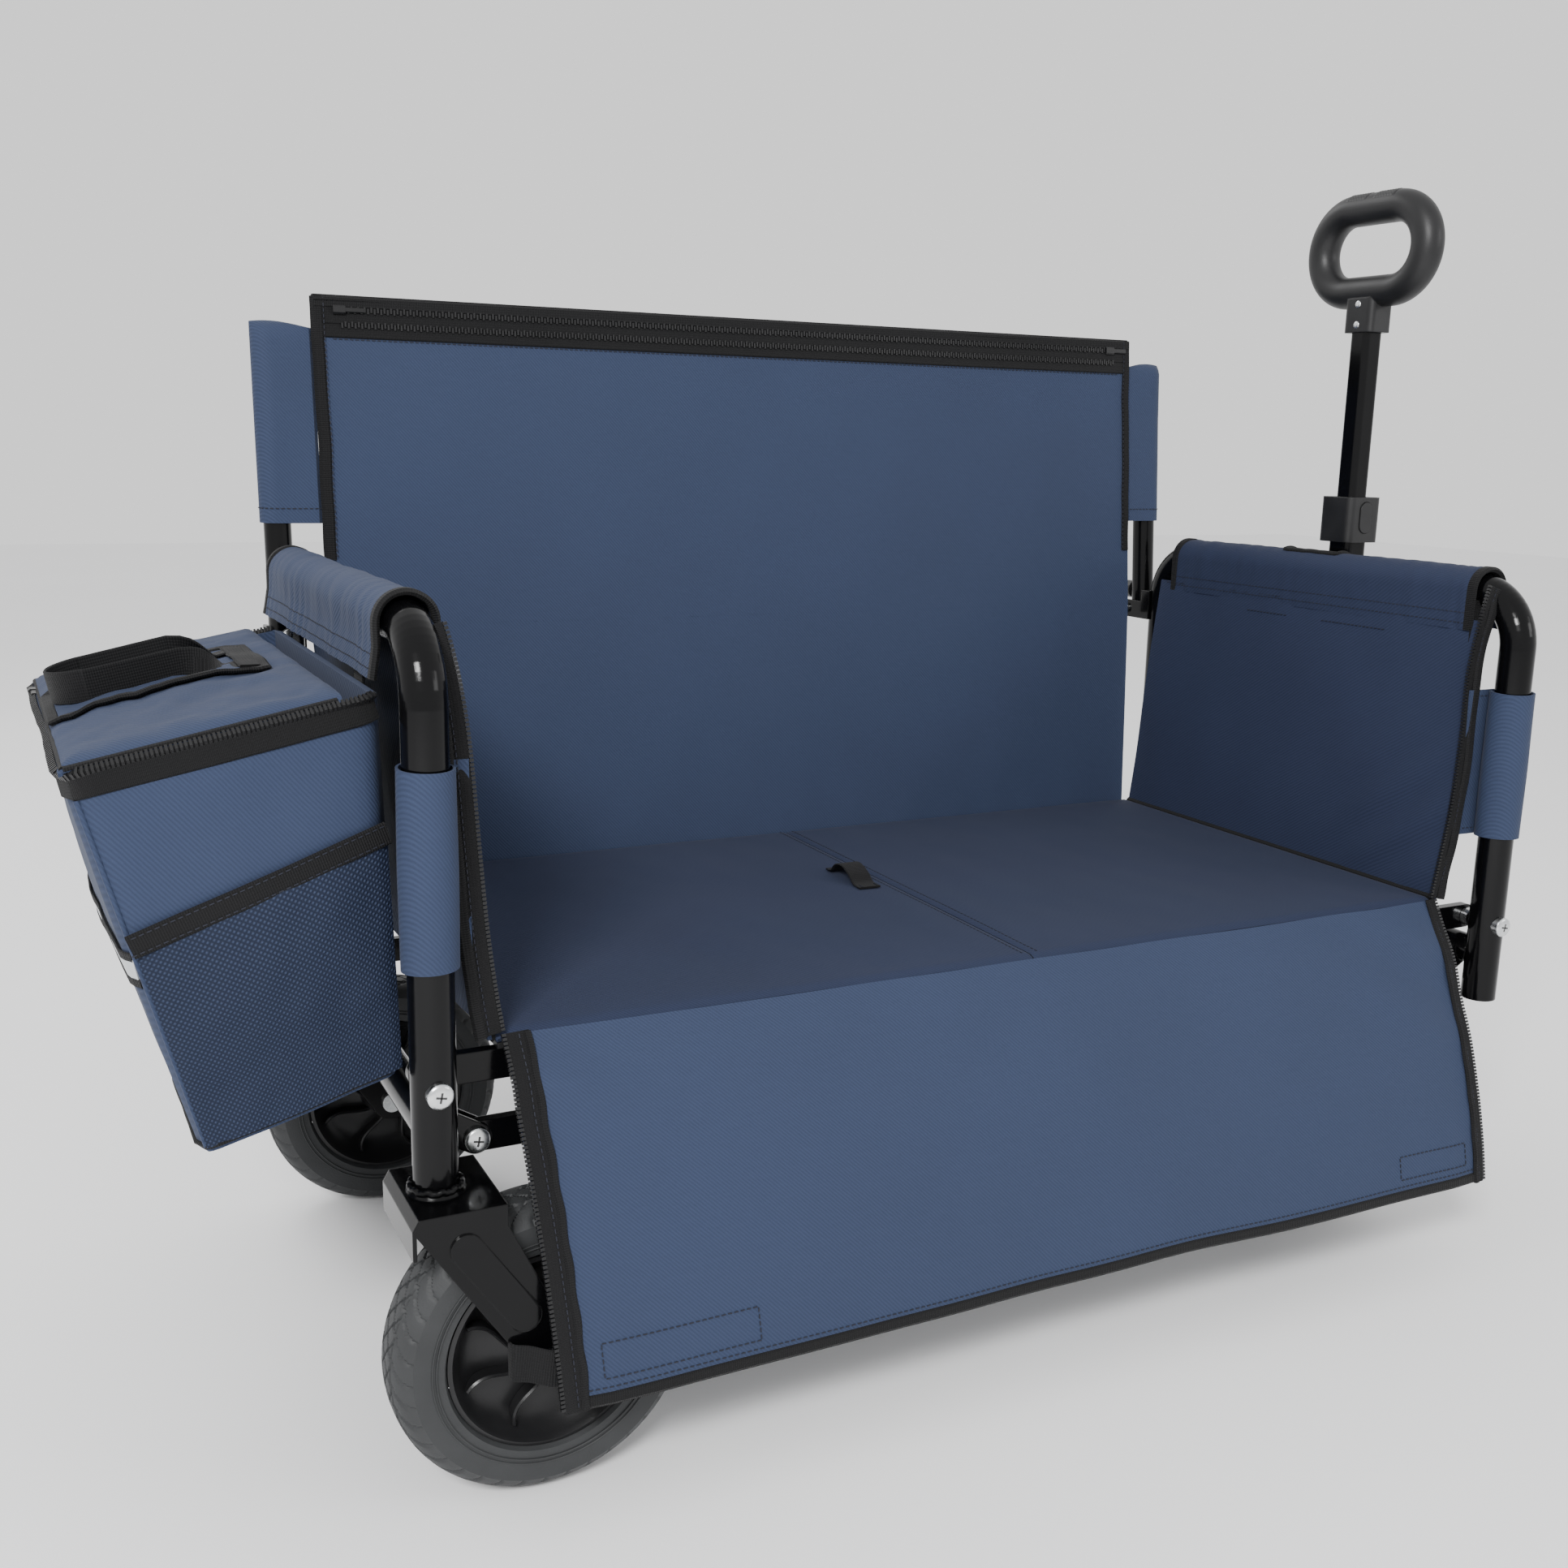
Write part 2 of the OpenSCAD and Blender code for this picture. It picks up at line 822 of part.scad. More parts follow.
// The fabric pocket that slips over the top of a back post.
module wing(side) {
    top = (wing_top - hinge_h) / cos(post_lean);
    in_edge = half - back_half_w - soft - post_in - 0.2;
    depth_y = back_post_d + 2 * cloth_t;
    color(cloth_blue) on_back_post(side)
        difference() {
            translate([-back_post_r - cloth_t, -depth_y / 2, top - wing_l])
                cube([back_post_r + cloth_t + in_edge, depth_y, wing_l]);
            translate([0, 0, top - wing_l - 1])
                cylinder(r = back_post_r + soft, h = wing_l - cloth_t + 1);
        }
}

// The pull knob behind a back post.
module lock_knob(side) {
    z = hinge_h + knob_h;
    back = post_back_y + back_post_r + knob_h * tan(post_lean);
    color(grip_black) at_end(side) {
        rod_y(post_in, z, hinge_r, post_back_y - 3, back + 3);
        rod_y(post_in, z, 9, back + 1, back + 13);
    }
}

// ---------- handle ----------

module handle_place() {
    at_end(RIGHT)
        translate([hp_x, 0, 0])
            children();
}

module square_tube(side, wall, z0, z1) {
    r = side / 4;
    translate([0, 0, z0])
        linear_extrude(z1 - z0)
            difference() {
                rounded2d(side, side, r);
                rounded2d(side - 2 * wall, side - 2 * wall, r - wall);
            }
}

// Two cheeks on the bar that carry the foot of the handle.
module handle_bracket() {
    in = handle_outer / 2 + 0.5;
    color(frame_black) at_end(RIGHT) difference() {
        both_y()
            plate_y(in, in + 3)
                bar2d([0, bar_h - 6], [hp_x, handle_pivot_h], 24);
        rod_y(0, bar_h, bar_d / 2 + 0.1, -50, 50);
        rod_y(hp_x, handle_pivot_h, bolt_r + run, -50, 50);
    }
}

module handle_outer_tube() {
    color(frame_black) handle_place() difference() {
        square_tube(handle_outer, 2, handle_pivot_h - 11, outer_top);
        rod_y(0, handle_pivot_h, bolt_r + run, -50, 50);
    }
}

module button2d(grow) {
    bar2d([0, -button_h / 2 + button_w / 2], [0, button_h / 2 - button_w / 2], button_w + grow);
}

module handle_collar() {
    color(grip_black) handle_place() difference() {
        translate([0, 0, collar_low])
            linear_extrude(collar_h)
                rounded2d(collar_w, collar_w, 7);
        translate([0, 0, collar_low - 1])
            linear_extrude(outer_top - collar_low + 1.2)
                rounded2d(handle_outer + 0.4, handle_outer + 0.4, handle_outer / 4);
        translate([0, 0, collar_low - 1])
            linear_extrude(collar_h + 2)
                rounded2d(handle_inner + 2 * run, handle_inner + 2 * run, handle_inner / 4);
        translate([0, -collar_w / 2 + button_travel + 4, collar_low + collar_h / 2 + 2])
            rotate([90, 0, 0])
                linear_extrude(20)
                    button2d(0.6);
    }
}

module handle_button() {
    color(grip_black) handle_place()
        translate([0, -collar_w / 2 + 3.7, collar_low + collar_h / 2 + 2])
            rotate([90, 0, 0])
                linear_extrude(4.5)
                    button2d(0);
}

module handle_inner_tube() {
    color(frame_black) handle_place()
        square_tube(handle_inner, 1.6, inner_low, neck_low + 18);
}

// A closed loop grip with a neck that takes the inner tube.
module handle_grip() {
    loop_h = grip_top - neck_low - neck_h + 8;
    c = grip_top - loop_h / 2;
    bar_r = grip_d / 2;
    line_r = loop_h / 2 - bar_r;
    straight = grip_w / 2 - loop_h / 2;
    color(grip_black) handle_place() difference() {
        union() {
            translate([0, 0, neck_low])
                linear_extrude(neck_h)
                    rounded2d(27, 34, 6);
            both_y() {
                translate([0, straight, c])
                    rotate([0, 90, 0])
                        rotate_extrude(angle = 180)
                            translate([line_r, 0])
                                circle(bar_r);
            }
            for (s = [-1, 1])
                rod_y(0, c + s * line_r, bar_r, -straight - eps, straight + eps);
        }
        translate([0, 0, neck_low - 1])
            linear_extrude(19.3)
                rounded2d(handle_inner + 0.3, handle_inner + 0.3, handle_inner / 4);
    }
}

// ---------- bag ----------

module bag2d() {
    polygon([bag_out_top, bag_in_top, bag_in_low, bag_out_low]);
}

module bag_body() {
    slope = [cos(lid_slope), sin(lid_slope)];
    a = bag_out_top + bag_wall * [1, 0];
    b = bag_in_top - lid_edge * slope;
    color(cloth_blue) at_end(LEFT) difference() {
        plate_y(bag_front, bag_front + bag_l)
            bag2d();
        plate_y(bag_front + bag_wall, bag_front + bag_l - bag_wall)
            polygon([
                a + [0, 20], b + [0, 20], b - [0, bag_wall],
                bag_in_low + [-bag_wall - 10, bag_wall + 2],
                bag_out_low + [bag_wall, bag_wall + 2],
                a
            ]);
    }
}

// Place of the bag's inner face at a height.
function bag_in_x(z) =
    bag_in_top[0]
    + (bag_in_low[0] - bag_in_top[0]) * (bag_in_top[1] - z) / (bag_in_top[1] - bag_in_low[1]);

// Two webbing loops that hang the bag from the arm tube, with their sewn ends.
module bag_straps() {
    w = 25;
    color(trim_black) at_end(LEFT) for (y = [bag_front + bag_l * 0.2, bag_front + bag_l * 0.8])
        difference() {
            plate_y(y - w / 2, y + w / 2) {
                translate([0, arm_z])
                    circle(tube_r + 2.3);
                translate([-tube_r - 2.3, strap_end])
                    square([2, arm_z - strap_end]);
                polygon([
                    [bag_in_x(strap_end) + soft, strap_end], [-tube_r - 0.3, strap_end],
                    [-tube_r - 0.3, bag_in_top[1] - 1], [bag_in_x(bag_in_top[1] - 1) + soft, bag_in_top[1] - 1]
                ]);
            }
            rod_y(0, arm_z, tube_r + soft, y - w, y + w);
        }
}

module on_lid() {
    slope = [cos(lid_slope), sin(lid_slope)];
    foot = bag_in_top - lid_edge * slope;
    at_end(LEFT)
        translate([foot[0], bag_front, foot[1]])
            rotate([0, -lid_slope, 0])
                children();
}

module bag_lid() {
    w = norm(bag_in_top - bag_out_top) - lid_edge;
    crown = 5;
    color(cloth_blue) on_lid()
        plate_y(0, bag_l)
            polygon([
                [-w, soft], [0, soft], [0, lid_t - crown], [-w * 0.2, lid_t],
                [-w * 0.8, lid_t], [-w, lid_t - crown]
            ]);
}

// The webbing loop that lies on the lid.
module carry_strap() {
    h = 22;
    t = 2.5;
    r = 30;
    loop_l = 84;
    color(trim_black) on_lid()
        translate([-34, bag_l / 2, lid_t + soft])
            linear_extrude(h)
                difference() {
                    union() {
                        translate([-loop_l, 0])
                            circle(r);
                        translate([-loop_l, -r])
                            square([loop_l, 2 * r]);
                    }
                    translate([-loop_l, 0])
                        circle(r - t);
                    translate([-loop_l, -r + t])
                        square([loop_l + 1, 2 * (r - t)]);
                }
}

// ---------- nodes ----------

end_tube(LEFT);  // left_end_tube
cross_bar(LEFT);  // left_cross_bar
left_fork(-1);  // left_front_fork
left_fork(1);  // left_rear_fork
left_axles();
frame_bolts(LEFT);  // left_bolts
hinge_bracket(LEFT);  // left_hinge_bracket
arm_sleeve(LEFT);  // left_arm_sleeve
arm_wall(LEFT);  // left_wall
post_tab(LEFT);  // left_post_tab
back_lower();  // back_panel_lower
bag_body();
bag_straps();
bag_lid();
carry_strap();
upper_links(LEFT);  // left_upper_links
seat_board(LEFT);  // left_seat_board
seat_pad(LEFT);  // left_seat_pad
pull_strap();
hub_plates();
hub_cross_tube();
hub_pins();
lower_links(LEFT);  // left_lower_links
lower_links(RIGHT);  // right_lower_links
upper_links(RIGHT);  // right_upper_links
seat_board(RIGHT);  // right_seat_board
seat_pad(RIGHT);  // right_seat_pad
end_tube(RIGHT);  // right_end_tube
cross_bar(RIGHT);  // right_cross_bar
caster_mounts();
frame_bolts(RIGHT);  // right_bolts
hinge_bracket(RIGHT);  // right_hinge_bracket
arm_sleeve(RIGHT);  // right_arm_sleeve
arm_wall(RIGHT);  // right_wall
post_tab(RIGHT);  // right_post_tab
handle_bracket();
caster_fork(-1);  // front_caster_fork
caster_fork(1);  // rear_caster_fork
left_wheel_place(-1) tyre(wheel_r, wheel_w, tyre_h);  // left_front_tyre
left_wheel_place(-1) rim([wheel_r, wheel_r - tyre_h - 0.1], wheel_w, fork_half - fork_t - soft);  // left_front_rim
left_wheel_place(1) tyre(wheel_r, wheel_w, tyre_h);  // left_rear_tyre
left_wheel_place(1) rim([wheel_r, wheel_r - tyre_h - 0.1], wheel_w, fork_half - fork_t - soft);  // left_rear_rim
right_wheel_place(-1) tyre(caster_r, caster_w, caster_tyre_h);  // right_front_tyre
right_wheel_place(-1)  // right_front_rim
        rim([caster_r, caster_r - caster_tyre_h - 0.1], caster_w, caster_half - soft);
right_wheel_place(1) tyre(caster_r, caster_w, caster_tyre_h);  // right_rear_tyre
right_wheel_place(1)  // right_rear_rim
        rim([caster_r, caster_r - caster_tyre_h - 0.1], caster_w, caster_half - soft);
back_post(LEFT);  // left_back_post
wing(LEFT);  // left_wing
back_upper();  // back_panel_upper
back_post(RIGHT);  // right_back_post
wing(RIGHT);  // right_wing
lock_knob(LEFT);  // left_lock_knob
lock_knob(RIGHT);  // right_lock_knob
front_skirt();
handle_outer_tube();
handle_collar();
handle_button();
handle_inner_tube();
handle_grip();
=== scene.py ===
"""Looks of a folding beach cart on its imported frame. All lengths are in metres."""
import json
from math import atan2, cos, exp, pi, radians, sin

import bpy
import numpy as np
from mathutils import Matrix, Vector, noise


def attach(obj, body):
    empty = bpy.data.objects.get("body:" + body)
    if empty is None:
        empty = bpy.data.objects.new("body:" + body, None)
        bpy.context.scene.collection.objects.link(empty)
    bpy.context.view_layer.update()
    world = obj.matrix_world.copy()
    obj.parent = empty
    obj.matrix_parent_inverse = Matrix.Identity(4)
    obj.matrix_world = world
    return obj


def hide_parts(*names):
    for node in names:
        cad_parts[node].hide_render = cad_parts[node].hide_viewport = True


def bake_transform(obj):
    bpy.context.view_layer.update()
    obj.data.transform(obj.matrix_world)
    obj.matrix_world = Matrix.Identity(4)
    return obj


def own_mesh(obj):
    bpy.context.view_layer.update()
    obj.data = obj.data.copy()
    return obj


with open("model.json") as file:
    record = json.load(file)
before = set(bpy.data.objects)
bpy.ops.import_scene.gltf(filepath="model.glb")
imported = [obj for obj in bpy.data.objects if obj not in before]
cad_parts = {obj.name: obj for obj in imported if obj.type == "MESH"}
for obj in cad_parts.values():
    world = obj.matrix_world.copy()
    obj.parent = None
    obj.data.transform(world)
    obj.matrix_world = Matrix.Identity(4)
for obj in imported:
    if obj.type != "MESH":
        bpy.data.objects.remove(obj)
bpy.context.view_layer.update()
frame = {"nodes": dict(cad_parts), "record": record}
nodes = frame["nodes"]
scene = bpy.context.scene

MID = 0.07275  # x of the seat's middle
HALF = 0.45  # from the middle to the posts of either end
POST_Y = 0.223  # the posts stand this far to the front and rear
ARM_Z = 0.556  # axis of the arm tubes
PANEL_LOW = 0.296  # low edge of the back panel and of the walls
SKIRT_TOP = 0.3
HINGE_Z = 0.497  # axis of the back rest's hinge
AXLE_IN, AXLE_Z = 0.065, 0.1  # left wheels
LEFT, RIGHT = -1, 1
SIDE_NAME = {LEFT: "left", RIGHT: "right"}
X, Y, Z = (1, 0, 0), (0, 1, 0), (0, 0, 1)
LEANING = (0, 0.1, 1)  # up along the back panel


def at(side, x):
    """World x of a distance x inboard of one end's posts."""
    return MID + side * (HALF - x)


def back_y(z):
    """Front face of the leaning back panel."""
    return 0.212 + (z - PANEL_LOW) * 0.10687


def skirt_y(z):
    """Face of the skirt, which hangs forward in a shallow curve."""
    s = SKIRT_TOP - z
    return -0.208 - 0.55213 * s + 0.9365 * s * s


def post_axis_y(z):
    """Axis of the leaning back posts."""
    return 0.254 + (z - HINGE_Z) * 0.08046


# ---------- materials ----------


class Nodes:
    """A short way to write a material's node tree."""

    def __init__(self, name, color, rough, metallic=0.0):
        self.mat = bpy.data.materials.new(name)
        self.mat.use_nodes = True
        self.tree = self.mat.node_tree
        self.out = self.tree.nodes["Principled BSDF"]
        self.out.inputs["Base Color"].default_value = (*color, 1)
        self.out.inputs["Roughness"].default_value = rough
        self.out.inputs["Metallic"].default_value = metallic
        coords = self.tree.nodes.new("ShaderNodeTexCoord")
        self.object = coords.outputs["Object"]
        self.uv = coords.outputs["UV"]

    def add(self, kind, inputs=(), **settings):
        node = self.tree.nodes.new(kind)
        for key, value in settings.items():
            setattr(node, key, value)
        for key, value in dict(inputs).items():
            if isinstance(value, bpy.types.NodeSocket):
                self.tree.links.new(value, node.inputs[key])
            else:
                node.inputs[key].default_value = value
        return node

    def noise(self, scale, detail=2.0, vector=None):
        vector = vector or self.object
        made = self.add("ShaderNodeTexNoise", {"Vector": vector, "Scale": scale, "Detail": detail})
        return made.outputs["Fac"]

    def stretched(self, vector, scale):
        return self.add("ShaderNodeMapping", {"Vector": vector, "Scale": scale}).outputs["Vector"]

    def wave(self, vector, scale, direction, distortion=0.0):
        made = self.add(
            "ShaderNodeTexWave",
            {"Vector": vector, "Scale": scale, "Distortion": distortion},
            bands_direction=direction,
        )
        return made.outputs["Fac"]

    def math(self, operation, a, b):
        return self.add("ShaderNodeMath", {0: a, 1: b}, operation=operation).outputs[0]

    def plus(self, a, b, share):
        return self.math("ADD", a, self.math("MULTIPLY", b, share))

    def span(self, value, low, high):
        inputs = {"Value": value, "To Min": low, "To Max": high}
        return self.add("ShaderNodeMapRange", inputs).outputs["Result"]

    def mix(self, fac, a, b):
        made = self.tree.nodes.new("ShaderNodeMix")
        made.data_type = "RGBA"
        self.tree.links.new(fac, made.inputs["Factor"])
        for socket, value in zip([made.inputs[6], made.inputs[7]], [a, b]):
            if isinstance(value, bpy.types.NodeSocket):
                self.tree.links.new(value, socket)
            else:
                socket.default_value = (*value, 1)
        return made.outputs[2]

    def finish(self, color=None, rough=None, height=None, strength=0.3, distance=0.001, edge=0.0, **fixed):
        if color is not None:
            self.tree.links.new(color, self.out.inputs["Base Color"])
        if rough is not None:
            self.tree.links.new(rough, self.out.inputs["Roughness"])
        if height is not None:
            inputs = {"Height": height, "Strength": strength, "Distance": distance}
            bump = self.add("ShaderNodeBump", inputs)
            if edge:
                rounded = self.add("ShaderNodeBevel", {"Radius": edge}, samples=4)
                self.tree.links.new(rounded.outputs["Normal"], bump.inputs["Normal"])
            self.tree.links.new(bump.outputs["Normal"], self.out.inputs["Normal"])
        for key, value in fixed.items():
            self.out.inputs[key.replace("_", " ")].default_value = value
        return self.mat


def twill(name, color, depth=1.0):
    n = Nodes(name, color, 0.78)
    lines = n.wave(n.stretched(n.object, (1.0, 0.62, 0.83)), 222, "DIAGONAL", 0.6)
    threads = n.noise(1400, 1.0)
    patches = n.noise(7, 3.0)
    slubs = n.noise(1, 2.0, n.stretched(n.object, (60, 60, 420)))
    dark = tuple(c * 0.7 for c in color)
    light = tuple(min(1, c * 1.16) for c in color)
    tone = n.plus(n.math("MULTIPLY", lines, 0.45), threads, 0.35)
    tone = n.plus(tone, n.math("SUBTRACT", patches, 0.5), 0.35)
    tone = n.plus(tone, slubs, 0.12)
    height = n.plus(lines, threads, 0.5)
    return n.finish(
        n.mix(tone, dark, light), n.span(patches, 0.72, 0.86), height, 0.35 * depth, 0.0005,
        Sheen_Weight=0.04, Sheen_Roughness=0.4, Specular_IOR_Level=0.16,
    )


def webbing(name, color, along=209):
    n = Nodes(name, color, 0.72)
    ribs = n.wave(n.uv, along, "X")
    weft = n.wave(n.uv, 160, "Y", 0.4)
    grain = n.noise(900, 1.0)
    tone = n.plus(n.math("MULTIPLY", ribs, 0.6), grain, 0.4)
    light = tuple(c * 1.9 + 0.002 for c in color)
    height = n.plus(ribs, weft, 0.4)
    return n.finish(
        n.mix(tone, color, light), n.span(grain, 0.62, 0.82), height, 0.6, 0.0006,
        Sheen_Weight=0.03, Specular_IOR_Level=0.15,
    )


def gloss_paint(name):
    n = Nodes(name, (0.003, 0.003, 0.0035), 0.12)
    peel = n.noise(420, 2.0)
    dust = n.noise(26, 4.0)
    color = n.mix(n.span(dust, 0.0, 0.5), (0.0015, 0.0015, 0.0018), (0.0035, 0.0035, 0.004))
    return n.finish(
        color, n.span(dust, 0.08, 0.2), peel, 0.05, 0.0004, 0.0016,
        Coat_Weight=0.05, Coat_Roughness=0.04, Specular_IOR_Level=0.17,
    )


def moulded(name, color, low, high, grain=1100, strength=0.18, edge=0.0):
    n = Nodes(name, color, low)
    fine = n.noise(grain, 2.0)
    wear = n.noise(34, 4.0)
    light = tuple(c * 1.7 + 0.004 for c in color)
    return n.finish(n.mix(wear, color, light), n.span(wear, low, high), fine, strength, 0.0005, edge,
                    Specular_IOR_Level=0.32)


def zinc_plate(name):
    n = Nodes(name, (0.66, 0.68, 0.7), 0.26, 1.0)
    spots = n.noise(180, 4.0)
    turned = n.noise(1, 2.0, n.stretched(n.object, (900, 60, 900)))
    color = n.mix(spots, (0.52, 0.55, 0.58), (0.8, 0.8, 0.78))
    return n.finish(color, n.span(spots, 0.18, 0.4), turned, 0.12, 0.0003)


def net(name):
    """Open diamond mesh over a dark lining."""
    n = Nodes(name, (0.012, 0.017, 0.034), 0.6)
    turned = n.add("ShaderNodeMapping", {"Vector": n.uv, "Rotation": (0, 0, radians(45))})
    a = n.wave(turned.outputs["Vector"], 125, "X")
    b = n.wave(turned.outputs["Vector"], 125, "Y")
    cells = n.math("MULTIPLY", a, b)
    yarn = n.noise(1300, 1.0)
    tone = n.plus(n.math("MULTIPLY", cells, 1.1), yarn, 0.15)
    color = n.mix(tone, (0.009, 0.012, 0.024), (0.032, 0.044, 0.082))
    return n.finish(color, n.span(yarn, 0.45, 0.65), cells, 0.7, 0.0009, Specular_IOR_Level=0.1)


def reflector(name):
    n = Nodes(name, (0.5, 0.52, 0.54), 0.35, 0.35)
    beads = n.noise(1600, 1.0)
    marks = n.noise(40, 3.0)
    color = n.mix(marks, (0.38, 0.4, 0.42), (0.58, 0.6, 0.62))
    return n.finish(color, n.span(beads, 0.28, 0.5), beads, 0.25, 0.0003)


def floor_paint(name):
    n = Nodes(name, (0.93, 0.93, 0.93), 0.8)
    cloud = n.noise(1.4, 3.0)
    return n.finish(n.mix(cloud, (0.9, 0.9, 0.905), (0.94, 0.94, 0.945)), n.span(cloud, 0.75, 0.9))


NAVY = (0.031, 0.043, 0.083)
CLOTH = twill("cloth_twill", NAVY)
# a darker copy of the navy cloth: painted shade for the seat, the right sleeve and the right wall, which lie
# in shade inside the cart
CLOTH_SHADED = twill("cloth_twill_painted_shade", (0.021, 0.028, 0.058), 0.8)
WEB = webbing("webbing_black", (0.0042, 0.0042, 0.0046))
TAPE = webbing("zip_tape", (0.0042, 0.0042, 0.0046), 330)
TEETH = moulded("zip_teeth", (0.005, 0.005, 0.0055), 0.3, 0.5)
THREAD = moulded("thread", (0.007, 0.008, 0.014), 0.6, 0.85, 2200, 0.4)
PAINT = gloss_paint("gloss_powder_coat")
RUBBER = moulded("tyre_rubber", (0.019, 0.02, 0.021), 0.48, 0.66, 700, 0.3)
PLASTIC = moulded("black_plastic", (0.007, 0.007, 0.0075), 0.32, 0.5, edge=0.0016)
SATIN = moulded("rim_plastic", (0.006, 0.006, 0.0065), 0.24, 0.4, 800, 0.12)
ZINC = zinc_plate("zinc_plate")
# flat dark grey for the cross on the bolt heads: painted shade standing in for the hollow of the recess
RECESS_SHADE = moulded("recess", (0.03, 0.03, 0.03), 0.5, 0.7)
NET = net("pocket_net")
REFLECT = reflector("reflective_strip")

# ---------- mesh building ----------


def unit(a):
    a = np.asarray(a, float)
    return a / np.maximum(np.linalg.norm(a, axis=-1, keepdims=True), 1e-12)


def run_length(path):
    """Distance along a path to each of its points."""
    return np.concatenate([[0], np.cumsum(np.linalg.norm(np.diff(path, axis=0), axis=1))])


def squared(a, along):
    """Unit directions a, turned square to the directions along."""
    return unit(a - (a * along).sum(1, keepdims=True) * along)


def band_faces(rows, n):
    """Faces between rows of n points that each close on themselves."""
    return [[i * n + k, i * n + (k + 1) % n, (i + 1) * n + (k + 1) % n, (i + 1) * n + k]
            for i in range(rows - 1) for k in range(n)]


def around(centre, r, a, y):
    """A point at radius r and angle a round an axis along y."""
    return (centre[0] + r * cos(a), centre[1] + y, centre[2] + r * sin(a))


def grid(nu, nv, fn):
    """Points fn(u, v) over the unit square."""
    return np.array([[fn(i / nu, j / nv) for j in range(nv + 1)] for i in range(nu + 1)], float)


def soft(p, scale, amp, seed=0.0):
    """Smooth noise that makes cloth uneven."""
    s = (scale,) * 3 if np.isscalar(scale) else scale
    return amp * noise.noise(Vector((p[0] * s[0] + seed, p[1] * s[1] + seed * 1.7, p[2] * s[2] - seed)))


class Build:
    """Collects the faces of one piece."""

    def __init__(self):
        self.v, self.uv, self.f, self.m, self.n = [], [], [], [], 0

    def add(self, verts, faces, uv=None, mat=0):
        verts = np.asarray(verts, float).reshape(-1, 3)
        self.v.append(verts)
        self.uv.append(np.zeros((len(verts), 2)) if uv is None else np.asarray(uv).reshape(-1, 2))
        self.f += [[self.n + i for i in face] for face in faces]
        self.m += [mat] * len(faces)
        self.n += len(verts)

    def sheet(self, P, t, mat=0, flip=False, keep=None):
        """A closed slab under the grid of points P, t thick. keep(i, j) says which cells are there."""
        nu, nv = P.shape[0], P.shape[1]
        normal = unit(np.cross(np.gradient(P, axis=0), np.gradient(P, axis=1)))
        if flip:
            normal = -normal
        t = np.broadcast_to(np.asarray(t, float), (nu, nv))
        back = P - normal * t[..., None]
        du = np.linalg.norm(np.diff(P, axis=0), axis=2).mean(axis=1)
        dv = np.linalg.norm(np.diff(P, axis=1), axis=2).mean(axis=0)
        u = np.concatenate([[0], np.cumsum(du)])
        v = np.concatenate([[0], np.cumsum(dv)])
        uv = np.stack(np.meshgrid(u, v, indexing="ij"), axis=2)
        size = nu * nv
        faces, edges = [], {}
        for i in range(nu - 1):
            for j in range(nv - 1):
                if keep and not keep(i, j):
                    continue
                q = [i * nv + j, (i + 1) * nv + j, (i + 1) * nv + j + 1, i * nv + j + 1]
                if flip:
                    q.reverse()
                faces += [q, [k + size for k in reversed(q)]]
                for a, b in zip(q, q[1:] + q[:1]):
                    if (b, a) in edges:
                        del edges[(b, a)]
                    else:
                        edges[(a, b)] = True
        faces += [[b, a, a + size, b + size] for a, b in edges]
        used = sorted({k for f in faces for k in f})
        new = {k: i for i, k in enumerate(used)}
        verts = np.concatenate([P.reshape(-1, 3), back.reshape(-1, 3)])[used]
        uvs = np.concatenate([uv.reshape(-1, 2)] * 2)[used]
        self.add(verts, [[new[k] for k in f] for f in faces], uvs, mat)

    def ribbon(self, path, across, w, t, mat=0, closed=False):
        """A flat strip along a path; across is the direction of its width."""
        path = np.asarray(path, float)
        n = len(path)
        if closed:
            tan = unit(np.roll(path, -1, 0) - np.roll(path, 1, 0))
        else:
            tan = unit(np.gradient(path, axis=0))
        across = np.broadcast_to(np.asarray(across, float), (n, 3))
        across = squared(across, tan)
        up = np.cross(tan, across)
        w = np.broadcast_to(np.asarray(w, float), (n,))
        c = min(t / 2, w.min() / 4)
        rows = []
        for s, h in [(-1, 0), (-1, 1), (1, 1), (1, 0), (1, -1), (-1, -1)]:
            a = s * (w / 2 - (c if h else 0))
            rows.append(path + across * a[:, None] + up * (h * t / 2))
        P = np.stack(rows, axis=1)
        length = run_length(path)
        side = np.array([0, c, w.mean() - c, w.mean(), w.mean() + c, 2 * w.mean()])
        uv = np.stack(np.meshgrid(length, side, indexing="ij"), axis=2)
        faces = []
        for i in range(n if closed else n - 1):
            k = (i + 1) % n
            for j in range(6):
                m = (j + 1) % 6
                faces.append([i * 6 + j, i * 6 + m, k * 6 + m, k * 6 + j])
        if not closed:
            faces += [[5, 4, 3, 2, 1, 0], [(n - 1) * 6 + j for j in range(6)]]
        self.add(P.reshape(-1, 3), faces, uv.reshape(-1, 2), mat)

    def tube(self, path, r, k=10, mat=0):
        """A round bar with k sides along a path."""
        path = np.asarray(path, float)
        n = len(path)
        tan = unit(np.gradient(path, axis=0))
        side = unit(np.cross(tan[0], [0.31, 0.52, 0.79]))
        length = run_length(path)
        P, uv = [], []
        for i in range(n):
            side = unit(side - np.dot(side, tan[i]) * tan[i])
            up = np.cross(tan[i], side)
            for j in range(k):
                a = 2 * pi * j / k
                P.append(path[i] + r * (cos(a) * side + sin(a) * up))
                uv.append((length[i], r * a))
        faces = band_faces(n, k)
        faces += [list(range(k))[::-1], [(n - 1) * k + j for j in range(k)]]
        self.add(P, faces, uv, mat)

